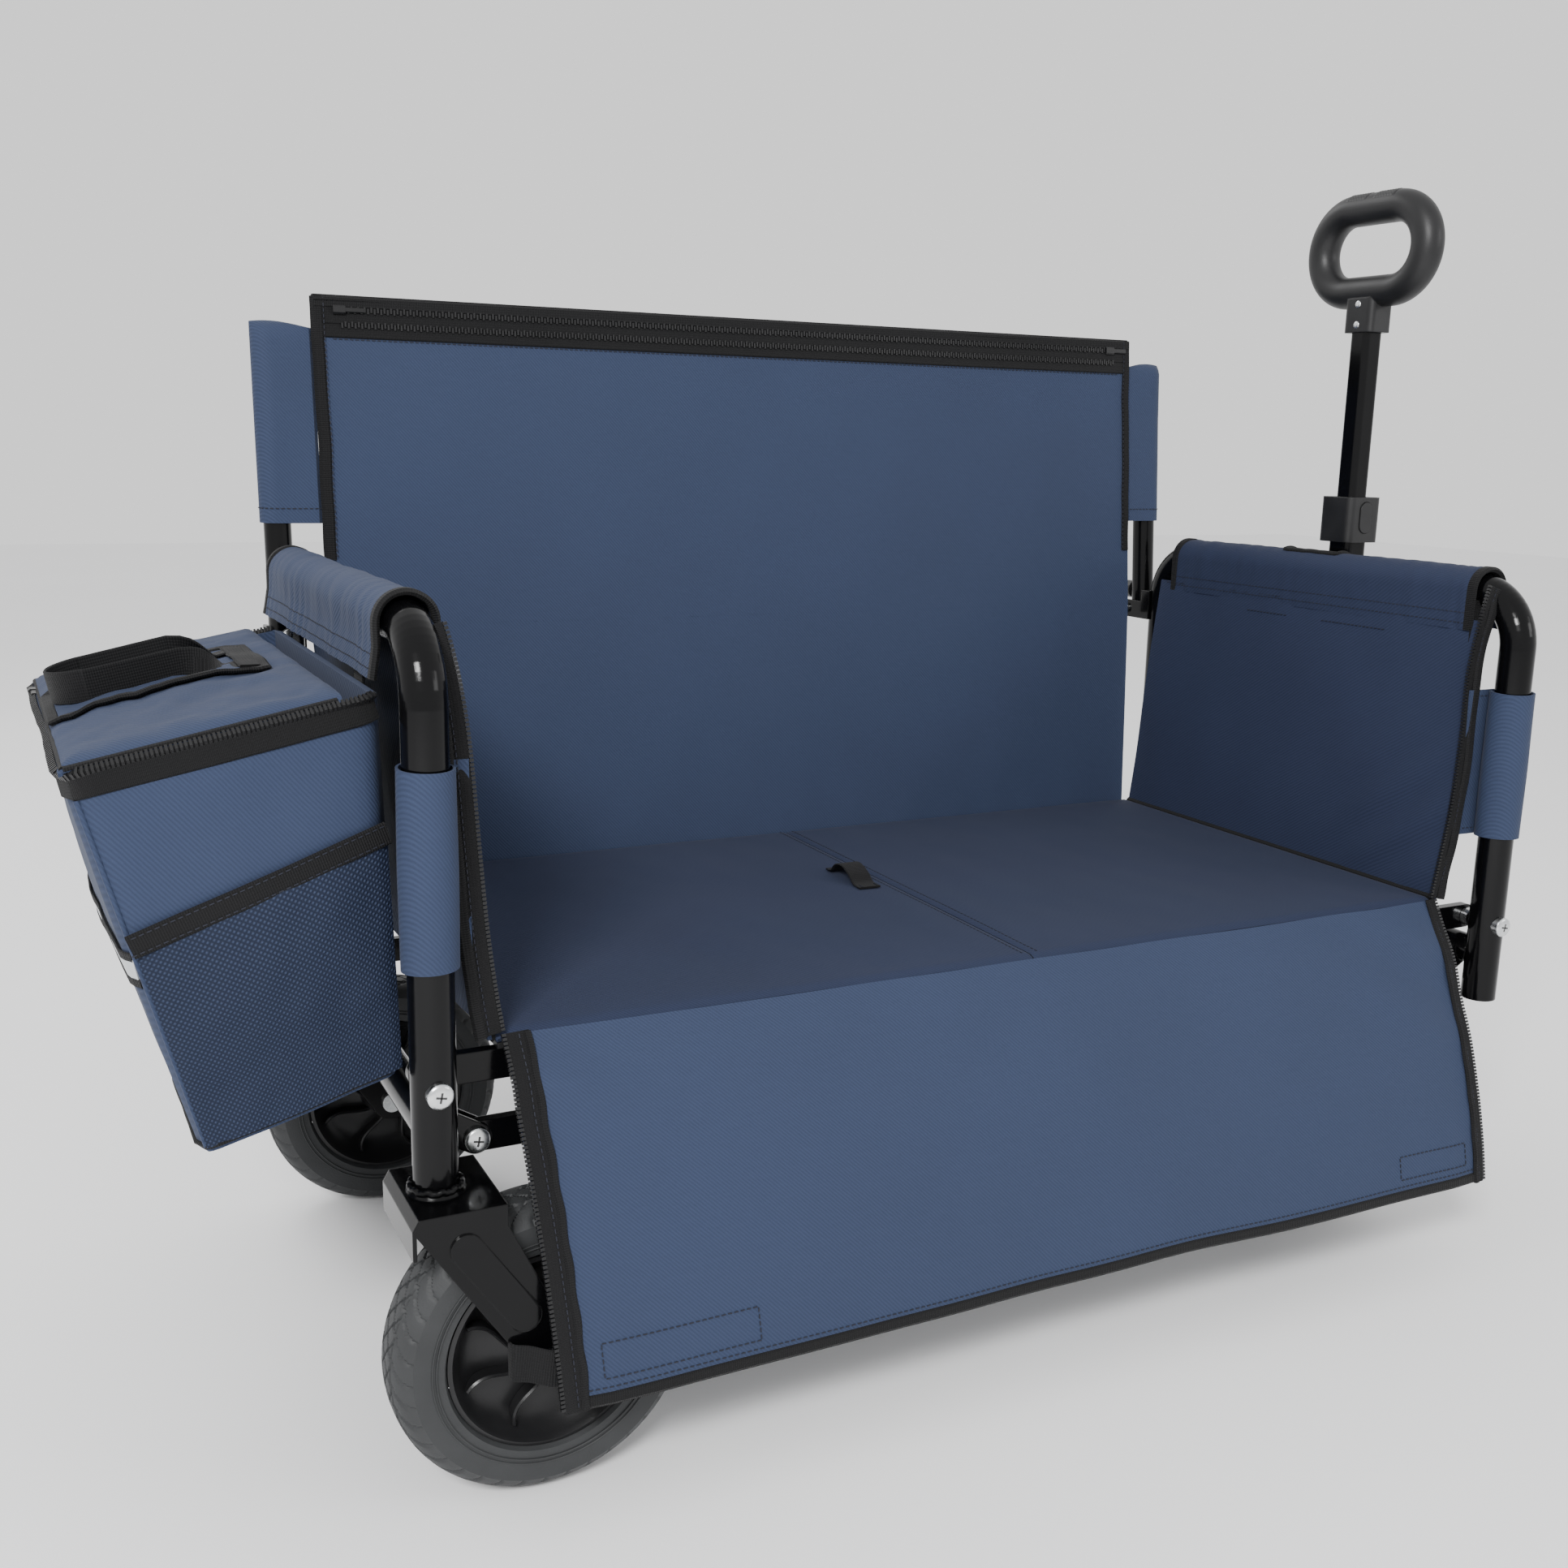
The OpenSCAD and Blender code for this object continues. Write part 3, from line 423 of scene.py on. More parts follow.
    def blocks(self, path, across, half, pitch, mat=0, swing=0.0):
        """Small blocks along a path, such as zip teeth or stitches. half is along, across, up."""
        path = np.asarray(path, float)
        across = np.broadcast_to(np.asarray(across, float), path.shape)
        length = run_length(path)
        where = np.arange(pitch / 2, length[-1], pitch)

        def there(values):
            return np.stack([np.interp(where, length, values[:, k]) for k in range(3)], axis=1)

        p = there(path)
        d = unit(there(unit(np.gradient(path, axis=0))))
        a = squared(there(across), d)
        up = np.cross(d, a)
        corners = [(x, y, z) for z in (-1, 1) for x, y in ((-1, -1), (1, -1), (1, 1), (-1, 1))]
        box = [[0, 3, 2, 1], [4, 5, 6, 7], [0, 1, 5, 4], [1, 2, 6, 5], [2, 3, 7, 6], [3, 0, 4, 7]]
        for i in range(len(where)):
            c = p[i] + a[i] * (swing if i % 2 else -swing)
            vs = [c + d[i] * x * half[0] + a[i] * y * half[1] + up[i] * z * half[2] for x, y, z in corners]
            self.add(vs, box, None, mat)

    def stitch(self, path, across, mat):
        self.blocks(path, across, STITCH, STITCH_PITCH, mat)

    def lathe(self, profile, centre, k=64, mat=0, shape=None):
        """Turns (radius, y) points about an axis along y. shape(angle, radius, y) changes a radius."""
        profile = np.asarray(profile, float)
        n = len(profile)
        P, uv = [], []
        run = run_length(profile)
        for i in range(k):
            a = 2 * pi * i / k
            for j, (r, y) in enumerate(profile):
                if shape:
                    r = shape(a, r, y)
                P.append(around(centre, r, a, y))
                uv.append((a * profile[:, 0].max(), run[j]))
        faces = [
            [i * n + j, i * n + j + 1, ((i + 1) % k) * n + j + 1, ((i + 1) % k) * n + j]
            for i in range(k) for j in range(n - 1)
        ]
        self.add(P, faces, uv, mat)

    def make(self, name, mats, slot, angle=38):
        """The object, with edges sharper than angle left sharp."""
        me = bpy.data.meshes.new(name)
        me.from_pydata(np.concatenate(self.v).tolist(), [], self.f)
        corner = np.empty(len(me.loops), np.int32)
        me.loops.foreach_get("vertex_index", corner)
        layer = me.uv_layers.new(name="UVMap")
        layer.data.foreach_set("uv", np.concatenate(self.uv)[corner].astype(np.float32).ravel())
        me.polygons.foreach_set("material_index", self.m)
        me.polygons.foreach_set("use_smooth", [True] * len(me.polygons))
        for mat in mats:
            me.materials.append(mat)
        me.update()
        me.set_sharp_from_angle(angle=radians(angle))
        ob = bpy.data.objects.new(name, me)
        scene.collection.objects.link(ob)
        return ob


def curve(points, n=40):
    """A smooth path through a few points."""
    p = np.asarray(points, float)
    p = np.concatenate([[2 * p[0] - p[1]], p, [2 * p[-1] - p[-2]]])
    out = []
    m = len(p) - 3
    for i in range(n + 1):
        t = i / n * m
        k = min(int(t), m - 1)
        t -= k
        a, b, c, d = p[k:k + 4]
        out.append(
            0.5 * (2 * b + (c - a) * t + (2 * a - 5 * b + 4 * c - d) * t**2 + (3 * b - a - 3 * c + d) * t**3)
        )
    return np.array(out)


def line(a, b, n=24):
    return np.linspace(np.asarray(a, float), np.asarray(b, float), n + 1)


STITCH = (0.0014, 0.00035, 0.0003)
STITCH_PITCH = 0.0045
ZIP = (0.0008, 0.0022, 0.0009)
ZIP_PITCH = 0.0027

# ---------- camera, stage and light ----------


def camera():
    """The photo's view, from a fit to points of the cart in it."""
    data = bpy.data.cameras.new("camera")
    data.lens = 37.34
    data.sensor_width = 36
    ob = bpy.data.objects.new("camera", data)
    scene.collection.objects.link(ob)
    right = Vector((0.895473, -0.444604, 0.021328))
    down = Vector((-0.073482, -0.194919, -0.978063))
    ahead = Vector((0.439008, 0.874262, -0.207215))
    turn = Matrix([right, -down, -ahead]).transposed().to_4x4()
    ob.matrix_world = Matrix.Translation((-0.678038 + MID, -1.139604, 0.665883)) @ turn
    scene.camera = ob


def stage():
    b = Build()
    s = 9.0
    b.add([(-s, -s, -0.0006), (s, -s, -0.0006), (s, s, -0.0006), (-s, s, -0.0006)], [[0, 1, 2, 3]])
    floor = b.make("floor", [floor_paint("floor_paint")], "cloth")
    world = bpy.data.worlds.new("studio")
    world.use_nodes = True
    world.node_tree.nodes["Background"].inputs["Color"].default_value = (1, 1, 1, 1)
    world.node_tree.nodes["Background"].inputs["Strength"].default_value = 1.15
    scene.world = world
    for name, place, target, power, size in [
        ("key", (-1.8, -2.3, 2.3), (0, 0, 0.35), 125, 0.9),
        ("fill", (2.4, -2.4, 1.6), (0, 0, 0.3), 14, 1.2),
        ("back", (-0.6, 2.2, 2.4), (0, 0, 0.3), 20, 1.6),
    ]:
        data = bpy.data.lights.new(name, "AREA")
        data.energy = power
        data.shape = "RECTANGLE"
        data.size = size
        data.size_y = size * 0.7
        ob = bpy.data.objects.new(name, data)
        scene.collection.objects.link(ob)
        ob.location = place
        ob.rotation_euler = (Vector(target) - Vector(place)).to_track_quat("-Z", "Y").to_euler()


# ---------- back rest ----------

PANEL_W = 0.412  # half the panel's width
PANEL_SPLIT = 0.505  # the upper panel starts here


def panel_face(x, z):
    """A point of the panel's front, crowned and a little uneven."""
    p = (x, 0, z)
    edge = 1 - abs((x - MID) / PANEL_W) ** 6
    y = back_y(z) - 0.0014 * edge
    y += soft(p, 5, 0.0022, 3) + soft(p, (16, 1, 9), 0.001, 8) * edge
    low = max(0.0, 1 - (z - PANEL_LOW) / 0.13)
    y += soft(p, (26, 1, 14), 0.0016, 12) * low
    return (x, y, z)


def panel_half(z):
    """Half the panel's width at a height."""
    return 0.404 + 0.008 * min(1.0, max(0.0, (z - PANEL_LOW) / 0.21))


def back_upper():
    b = Build()
    P = grid(110, 40, lambda u, v: panel_face(MID + (2 * u - 1) * PANEL_W, PANEL_SPLIT + 0.266 * v))
    ease = np.minimum(1, np.minimum(np.arange(111), np.arange(111)[::-1]) / 4)[:, None]
    T = 0.003 + 0.005 * np.sqrt(ease * np.minimum(1, np.arange(41)[::-1] / 3)[None, :])
    b.sheet(P, T)
    panel = b.make("back_rest_cloth", [CLOTH], "cloth")
    trim = Build()
    xs = np.linspace(MID - PANEL_W, MID + PANEL_W, 120)
    top = np.array([(x, back_y(0.771) + 0.0035 + soft((x, 0, 0), 14, 0.0008, 5), 0.7695) for x in xs])
    trim.ribbon(top, Y, 0.0132, 0.0085)
    lip = np.array([(x, panel_face(x, 0.766)[1] - 0.001, 0.7678) for x in xs])
    trim.ribbon(lip, LEANING, 0.0095, 0.0024)

    def row(z, lift, xs):
        return np.array([(x, panel_face(x, z)[1] + lift, z) for x in xs])

    for z, w in ((0.7595, 0.0185), (0.745, 0.011)):
        trim.ribbon(row(z, -0.0007, xs), LEANING, w, 0.0018, 1)
    for z in (0.762, 0.75):
        trim.blocks(row(z, -0.002, xs[3:-3]), LEANING, ZIP, ZIP_PITCH, 2, 0.0006)
    for x in (MID - PANEL_W + 0.02, MID + PANEL_W - 0.026):
        slider(trim, (x, panel_face(x, 0.762)[1] - 0.0034, 0.762), X, LEANING)
    for side in (-1, 1):
        zs = np.linspace(0.772, 0.56, 46)
        path = np.array([
            (MID + side * (PANEL_W - 0.0035 + soft((0, 0, z), 30, 0.0012, side)),
             panel_face(MID + side * PANEL_W, z)[1] + 0.0016, z) for z in zs
        ])
        trim.ribbon(path, X, 0.0115, 0.0072)
        seam = path + [-side * 0.0044, -0.004, 0]
        trim.stitch(seam, X, 3)
    trim.stitch(row(0.7385, -0.0003, xs[2:-2]), LEANING, 3)
    for z in (0.756, 0.535):
        trim.stitch(row(z, 0.0082, xs[3:-3]), LEANING, 3)
    for x in (MID - 0.27, MID, MID + 0.27):
        face = np.array([(x, panel_face(x, z)[1] + 0.0082, z) for z in np.linspace(0.535, 0.756, 30)])
        trim.stitch(face, X, 3)
    trim = trim.make("back_rest_trim", [WEB, TAPE, TEETH, THREAD], "webbing")
    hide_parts("back_panel_upper")
    for ob in (panel, trim):
        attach(ob, "back_left")
        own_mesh(ob)


def slider(b, centre, along, across):
    """A zip slider with its pull."""
    c, d, a = np.array(centre), unit(along), unit(across)
    b.ribbon([c - d * 0.005, c, c + d * 0.005], a, 0.0075, 0.0028, 2)
    b.ribbon([c + d * 0.004, c + d * 0.012, c + d * 0.02], a, 0.0042, 0.0014, 2)


HINGE_Y = 0.264


def back_lower():
    """The panel under the hinge, with a roll of cloth over the hinge line."""
    b = Build()

    def face(u, v):
        z = PANEL_LOW + 0.2092 * v
        return panel_face(MID + (2 * u - 1) * panel_half(z), z)

    b.sheet(grid(110, 34, face), 0.007)
    roll = Build()

    def over(u, v):
        a = radians(194 - 208 * v)
        r = 0.0178 + soft((u * 14, v, 0), 1, 0.0006, 3)
        x = MID + (2 * u - 1) * 0.399
        return (x, HINGE_Y + r * cos(a), HINGE_Z + r * sin(a) - 0.00045)

    roll.sheet(grid(70, 14, over), 0.0022)
    back = line((MID - 0.398, 0, 0), (MID + 0.398, 0, 0), 60)
    back = np.array([(x, HINGE_Y + 0.0181, 0.4935) for x, _, _ in back])
    roll.ribbon(back, Z, 0.009, 0.0022, 1)
    panel = b.make("back_lower_cloth", [CLOTH], "cloth")
    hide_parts("back_panel_lower")
    roll = roll.make("hinge_line_cloth", [CLOTH, WEB], "cloth")
    for ob in (panel, roll):
        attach(ob, "left_frame")
        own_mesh(ob)


def wing(side):
    """The pocket that slips over the top of a back post."""
    n = 44
    top, low = 0.748, 0.59
    reach = 0.0345

    def ring(z, inset, squeeze):
        cy = post_axis_y(z)
        panel_mid = back_y(z) + 0.004
        pts = []
        for k in range(n):
            t = k / n
            r = 0.0138 - inset
            if t < 0.5:
                a = pi * (0.5 + t * 2)
                x, y = r * cos(a), r * sin(a)
            elif t < 0.75:
                s = (t - 0.5) * 4
                x, y = s * reach, -r + s * (r - 0.0022 + inset * 0.6)
            else:
                s = (t - 0.75) * 4
                x, y = (1 - s) * reach, (0.0022 - inset * 0.6) + s * (r - 0.0022 + inset * 0.6)
            blend = min(1.0, max(0.0, x / reach))
            base = cy * (1 - blend) + panel_mid * blend
            y *= squeeze
            w = soft((x * side, y, z), (30, 30, 22), 0.0012, side + 4)
            rise = 0.0035 * cos(x * 60) * (z > 0.7)
            pts.append((at(side, 0.0025 + x), base + y * (1 + w * 40), z + rise))
        return pts

    zs = list(np.linspace(low, top - 0.01, 22)) + [top - 0.005, top - 0.001, top]
    squeezes = [1.0] * 22 + [0.82, 0.45, 0.12]
    outer = [ring(z, 0.0, s) for z, s in zip(zs, squeezes)]
    inner = [ring(z, 0.0015, 1.0) for z in zs[:22]]
    rings = inner[::-1] + outer
    verts = [p for r in rings for p in r]
    last = (len(rings) - 1) * n
    per = np.linspace(0, 0.11, n)
    uv = [(per[k], z) for z in list(zs[:22])[::-1] + zs for k in range(n)]
    faces = band_faces(len(rings), n)
    faces.append([last + k for k in range(n)])
    if side > 0:
        faces = [f[::-1] for f in faces]
    b = Build()
    b.add(verts, faces, uv)
    hem = np.array(ring(low + 0.012, -0.0004, 1.0))
    hem = np.concatenate([hem, hem[:1]])
    b.stitch(hem, Z, 1)
    name = SIDE_NAME[side]
    ob = b.make(f"{name}_wing_cloth", [CLOTH, THREAD], "cloth")
    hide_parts(f"{name}_wing")
    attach(ob, f"back_{name}")


# ---------- arms ----------

SLEEVE_R = 0.0186
HEM = 0.523
NOTCH = (-0.022, 0.042)  # y range cut out of the right sleeve for the handle
NOTCH_FROM = 0.44  # share of the way across it


def sleeve_section(v, y, side):
    """Across the sleeve from the inner hem, over the tube, to the outer hem."""
    drop = ARM_Z - HEM
    arc = pi * SLEEVE_R
    s = v * (2 * drop + arc)
    if s < drop:
        x, z, nx, nz = SLEEVE_R, HEM + s, 1, 0
    elif s < drop + arc:
        a = (s - drop) / SLEEVE_R
        x, z, nx, nz = SLEEVE_R * cos(a), ARM_Z + SLEEVE_R * sin(a), cos(a), sin(a)
    else:
        x, z, nx, nz = -SLEEVE_R, ARM_Z - (s - drop - arc), -1, 0
    end = exp(-(0.19 - abs(y)) / 0.05)
    key = 5 if side < 0 else 9
    lump = 0.9 if side < 0 else 0.35
    w = lump * (0.002 * abs(noise.noise(Vector((y * 52, v * 2.2, key))))
                + 0.0016 * noise.noise(Vector((y * 20, v * 3, key + 3))))
    w += 0.0014 * end * noise.noise(Vector((y * 130, v * 1.5, key + 6)))
    flare = 0.003 * max(0, 1 - abs(z - HEM) / 0.02) * (nx < 0)
    return (at(side, x + nx * (w + flare)), y, z + nz * w)


def sleeve(side):
    name = SIDE_NAME[side]
    nu, nv = 120, 44
    front, rear = -0.1905, 0.1905

    def point(u, v):
        return sleeve_section(v, front + (rear - front) * u, side)

    def keep(i, j):
        if side < 0:
            return True
        y = front + (rear - front) * (i + 0.5) / nu
        s = (j + 0.5) / nv
        return not (NOTCH[0] < y < NOTCH[1] and s > NOTCH_FROM)

    b = Build()
    P = grid(nu, nv, point)
    b.sheet(P, 0.0018, flip=side > 0, keep=keep)
    # the right sleeve takes the darker cloth copy, which is painted shade
    cloth = b.make(f"{name}_sleeve_cloth", [CLOTH_SHADED if side > 0 else CLOTH], "cloth")
    trim = Build()
    for i, inset in ((0, 0.004), (nu, -0.004)):
        rim = P[i].copy()
        rim[:, 1] += inset
        nor = rim - np.array([at(side, 0), 0, ARM_Z])
        nor[:, 1] = 0
        nor[rim[:, 2] < ARM_Z, 2] = 0
        rim -= unit(nor) * 0.0009
        trim.ribbon(rim, Y, 0.0105, 0.0042)
    for j in (2, 5, nv - 2, nv - 5):
        row = P[2:-2, j]
        if side > 0 and j > nv / 2:
            row = row[(row[:, 1] < NOTCH[0] - 0.004) | (row[:, 1] > NOTCH[1] + 0.004)]
        trim.stitch(row, Z, 1)
    if side > 0:
        j = int(NOTCH_FROM * nv) + 1
        i0 = int((NOTCH[0] - front) / (rear - front) * nu)
        i1 = int((NOTCH[1] - front) / (rear - front) * nu) + 1
        edge = np.concatenate([P[i0, nv:j:-1], P[i0:i1 + 1, j], P[i1, j:nv]])
        trim.tube(edge, 0.0026, 8)
        end = [(at(side, 0.0135), -0.19, 0.548 - 0.007 * k) for k in range(7)]
        trim.ribbon(end, X, 0.012, 0.0016)
    trim = trim.make(f"{name}_sleeve_trim", [WEB, THREAD], "webbing")
    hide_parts(f"{name}_arm_sleeve")
    for ob in (cloth, trim):
        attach(ob, f"{name}_frame")


def wall_point(side, y, z):
    """A point of a wall, which leans in from the arm to the seat."""
    t = (0.53 - z) / (0.53 - PANEL_LOW)
    x = 0.018 + t * (0.043 - 0.018)
    p = (y, 0, z)
    key = 21 if side > 0 else 31
    x += soft(p, (7, 1, 7), 0.0035, key) * sin(pi * min(1, max(0, t)))
    x += soft(p, (18, 1, 12), 0.0014, key + 2)
    corner = exp(-((y + 0.15) ** 2 + (z - 0.35) ** 2) / 0.004)
    x += corner * 0.002 * sin((y * 0.8 + z) * 120)
    return (at(side, x), y, z)


def wall(side):
    name = SIDE_NAME[side]
    b = Build()
    P = grid(70, 46, lambda u, v: wall_point(side, -0.203 + 0.409 * u, PANEL_LOW + 0.236 * v))
    b.sheet(P, 0.0028, flip=side > 0)
    # the right wall takes the darker cloth copy, which is painted shade
    cloth = b.make(f"{name}_wall_cloth", [CLOTH_SHADED if side > 0 else CLOTH], "cloth")
    t = Build()
    if side < 0:
        marks = [(0.0085, 0.556), (0.0125, 0.54), (0.0185, 0.513), (0.0225, 0.478), (0.0265, 0.418),
                 (0.031, 0.366), (0.036, 0.325), (0.04, 0.3)]
        width = 0.017
    else:
        marks = [(0.0125, 0.56), (0.0205, 0.536), (0.0255, 0.49), (0.027, 0.44), (0.0315, 0.38),
                 (0.0365, 0.335), (0.0425, 0.3)]
        width = 0.0125
    path = curve([(at(side, x), -0.2055 - 0.0015 * sin(i * 2.1) * (0 < i < 5), z)
                  for i, (x, z) in enumerate(marks)], 60)
    inward = (-side, 0, 0)
    t.ribbon(path, inward, width, 0.0022, 1)
    tan = unit(np.gradient(path, axis=0))
    a = np.broadcast_to(np.array(inward, float), path.shape)
    a = squared(a, tan)
    t.blocks(path + a * (width / 2 + 0.0005), a, (0.0009, 0.0013, 0.0012), ZIP_PITCH, 2)
    wavy = np.array([(0, 0.0006 * sin(i * 0.5) - 0.0012, 0) for i in range(len(path))])
    t.ribbon(path - a * (width / 2 - 0.003) + wavy, a, 0.0085, 0.0034)
    t.stitch(path + [0, -0.0016, 0], a, 3)
    foot = [P[i, 0] + np.array([0, 0, 0.002]) for i in range(0, 71, 5)]
    t.ribbon(foot, Z, 0.008, 0.0042)
    if side > 0:
        for ya, yb, z in ((-0.01, 0.195, 0.5305), (-0.1, -0.025, 0.514), (0.02, 0.075, 0.514)):
            row = [wall_point(side, y, z) for y in np.linspace(ya, yb, 24)]
            row = np.array(row) + [-0.0004, 0, 0]
            t.stitch(row, Z, 3)
    trim = t.make(f"{name}_wall_trim", [WEB, TAPE, TEETH, THREAD], "webbing")
    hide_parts(f"{name}_wall")
    for ob in (cloth, trim):
        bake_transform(ob)


def tab(side):
    """The wrap round a front post, with its flap to the wall."""
    name = SIDE_NAME[side]
    r, low, high = 0.0158, 0.354, 0.476

    def point(u, v):
        z = low + (high - low) * v
        arc = radians(318)
        run = 0.03
        s = u * (run + arc * r)
        bulge = 0.0005 * sin(pi * v) + soft((u * 9, 0, z * 20), 1, 0.0003, 40 + side)
        if s < run:
            x, y = run - s, -POST_Y + r + 0.0002 * sin(s * 300)
            return (at(side, x), y + bulge, z)
        a = pi / 2 + (s - run) / r
        rr = r + bulge
        skew = 0.0018 * sin(u * 6.28)
        return (at(side, rr * cos(a)), -POST_Y + rr * sin(a), z + skew * (v - 0.5))

    P = grid(72, 24, point)
    b = Build()
    b.sheet(P, 0.0016, flip=side < 0)
    cloth = b.make(f"{name}_tab_cloth", [CLOTH], "cloth")
    t = Build()
    for j in (1, 23):
        t.stitch(P[4:, j], Z, 0)
    for i in (38, 70):
        t.stitch(P[i, 1:-1], X if i > 50 else Y, 0)
    trim = t.make(f"{name}_tab_stitching", [THREAD], "webbing")
    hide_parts(f"{name}_post_tab")
    for ob in (cloth, trim):
        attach(ob, f"{name}_frame")


# ---------- seat and skirt ----------

FRONT, REAR = -0.2046, 0.209  # edges of the seat


def seat(side):
    name = SIDE_NAME[side]
    x0, x1 = (at(LEFT, 0.0446), MID - 0.0005) if side < 0 else (MID + 0.0005, at(RIGHT, 0.0446))

    def ease(u):
        return 0.5 * u + 0.5 * (0.5 - 0.5 * cos(pi * u))

    def point(u, v):
        x = x0 + (x1 - x0) * ease(u)
        y = FRONT + (REAR - FRONT) * ease(v)
        outer, inner = (x - x0, x1 - x) if side < 0 else (x1 - x, x - x0)
        d = min(outer, inner)
        e = min(y - FRONT, REAR - y)
        drop = 0.0026 * max(0, 1 - outer / 0.007) ** 2 + 0.0012 * max(0, 1 - inner / 0.003) ** 2
        drop += 0.003 * max(0, 1 - e / 0.008) ** 2
        z = 0.3008 + 0.0007 * (1 - exp(-min(d, e) / 0.03))
        z += soft((x, y, 0), 8, 0.0013, 51) * min(1, min(d, e) / 0.02)
        z += soft((x, y, 0), (30, 14, 1), 0.0006, 55) * min(1, min(d, e) / 0.02)
        return (x, y, z - drop)

    b = Build()
    P = grid(72, 72, point)
    b.sheet(P, np.maximum(0.0008, P[:, :, 2] - 0.2931))
    # the seat takes the darker cloth copy, which is painted shade
    pad = b.make(f"{name}_seat_cloth", [CLOTH_SHADED], "cloth")
    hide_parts(f"{name}_seat_pad")
    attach(pad, f"{name}_links")
    t = Build()
    i = 70 if side < 0 else 2
    t.blocks(P[i, 2:-2] + [0, 0, 0.0001], X, STITCH, 0.0048, 0)
    seam = t.make(f"{name}_seat_stitching", [THREAD], "webbing")
    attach(seam, f"{name}_links")


def pull_strap():
    x = MID - 0.026
    marks = [(-0.033, 0.0022), (-0.02, 0.0026), (-0.01, 0.0085), (0.004, 0.0125), (0.016, 0.01),
             (0.024, 0.0035), (0.033, 0.0022)]
    path = curve([(x + 0.0005 * k, 0.028 + s, 0.3008 + h) for k, (s, h) in enumerate(marks)], 48)
    b = Build()
    b.ribbon(path, X, 0.02, 0.0016)
    for s in (-0.029, 0.029):
        for dx in (-0.007, 0.007):
            row = line((x + dx, 0.028 + s - 0.004, 0.304), (x + dx, 0.028 + s + 0.004, 0.304), 4)
            b.blocks(row, X, STITCH, 0.0035, 1)
    ob = b.make("seat_pull_webbing", [WEB, THREAD], "webbing")
    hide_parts("pull_strap")
    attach(ob, "left_links")


def skirt_edge(side, z):
    s = SKIRT_TOP - z
    return at(side, 0.0485 + 0.052 * s) if side < 0 else at(side, 0.0475 - 0.012 * s)


def skirt_point(u, z):
    xl, xr = skirt_edge(LEFT, z), skirt_edge(RIGHT, z)
    x = xl + (xr - xl) * u
    s = (SKIRT_TOP - z) / 0.219
    y = skirt_y(z)
    p = (x, 0, z)
    free = min(1, u / 0.04) * min(1, (1 - u) / 0.04)
    y += (soft(p, (4, 1, 5), 0.0052, 61) + soft(p, (11, 1, 9), 0.0021, 66)) * free
    y -= 0.0025 * exp(-((s - 0.1) / 0.07) ** 2) * free
    corner = exp(-(((x - xr + 0.05) / 0.07) ** 2 + ((s - 0.2) / 0.25) ** 2))
    y += 0.0025 * corner * sin((x * 0.6 + z) * 90)
    left = exp(-(((x - xl - 0.03) / 0.05) ** 2 + ((s - 0.12) / 0.14) ** 2))
    y -= 0.003 * left * sin(z * 110 + x * 30)
    hem = max(0, s - 0.85) / 0.15
    return (x, y, z + hem * soft((x, 0, 0), 9, 0.0018, 71))


def skirt():
    b = Build()
    P = grid(150, 46, lambda u, v: skirt_point(u, 0.081 + 0.2185 * v))
    b.sheet(P, 0.0022)
    cloth = b.make("skirt_cloth", [CLOTH], "cloth")
    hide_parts("front_skirt")
    t = Build()
    zs = np.linspace(0.3005, 0.0795, 56)
    for side in (LEFT, RIGHT):
        inward = -side
        width = 0.0165 if side < 0 else 0.0105
        u = 0.0 if side < 0 else 1.0
        rim = np.array([skirt_point(u, z) for z in zs])
        mid = rim + [inward * width / 2, -0.0008, 0]
        t.ribbon(mid, X, width, 0.003, 1)
        t.blocks(rim + [inward * -0.0002, -0.0006, 0], X, (0.0009, 0.0014, 0.0014), ZIP_PITCH, 2)
        wave = np.array([(0.0005 * sin(k * 0.8), -0.0012, 0) for k in range(len(zs))])
        t.ribbon(mid + wave + [inward * (width / 2 - 0.002), 0, 0], X, 0.0055, 0.0032)
        t.stitch(mid + [inward * 0.001, -0.0016, 0], X, 3)
    hem = np.array([skirt_point(u, 0.0835) for u in np.linspace(0.01, 0.995, 130)])
    t.ribbon(hem + [0, 0.0008, 0], (0, 0.15, 1), 0.0095, 0.0046)
    row = np.array([skirt_point(u, 0.0905) for u in np.linspace(0.02, 0.985, 130)])
    t.stitch(row + [0, -0.0002, 0], (0, 0.15, 1), 3)
    for u0, u1, z0, z1 in ((0.035, 0.17, 0.096, 0.118), (0.885, 0.975, 0.096, 0.114)):
        ring = [(u0, z0), (u1, z0), (u1, z1), (u0, z1), (u0, z0)]
        for (ua, za), (ub, zb) in zip(ring, ring[1:]):
            row = np.array([skirt_point(ua + (ub - ua) * k / 12, za + (zb - za) * k / 12) for k in range(13)])
            t.stitch(row + [0, -0.0003, 0], (0, 0.2, 1) if za == zb else X, 3)
    x, z = at(LEFT, 0.0), 0.1085
    y = skirt_y(z)
    loop = curve([(x + 0.074, y + 0.0035, z - 0.002), (x + 0.058, y + 0.0022, z - 0.002),
                  (x + 0.044, -0.269, z), (x + 0.0355, -0.2655, z + 0.001),
                  (x + 0.0335, -0.26, z + 0.001)], 24)
    t.ribbon(loop, Z, 0.025, 0.0018)
    trim = t.make("skirt_trim", [WEB, TAPE, TEETH, THREAD], "webbing")
    for ob in (cloth, trim):
        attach(ob, "skirt")
        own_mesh(ob)


# ---------- bag ----------

BAG_F, BAG_R = -0.2, 0.15
LID_W = 0.1562
STRAP_R = 0.0152  # round the arm tube
OUT_TOP, IN_TOP = (-0.193, 0.479), (-0.0185, 0.515)
OUT_LOW, IN_LOW = (-0.131, 0.249), (-0.0112, 0.283)
LID_A = atan2(IN_TOP[1] - OUT_TOP[1], IN_TOP[0] - OUT_TOP[0])


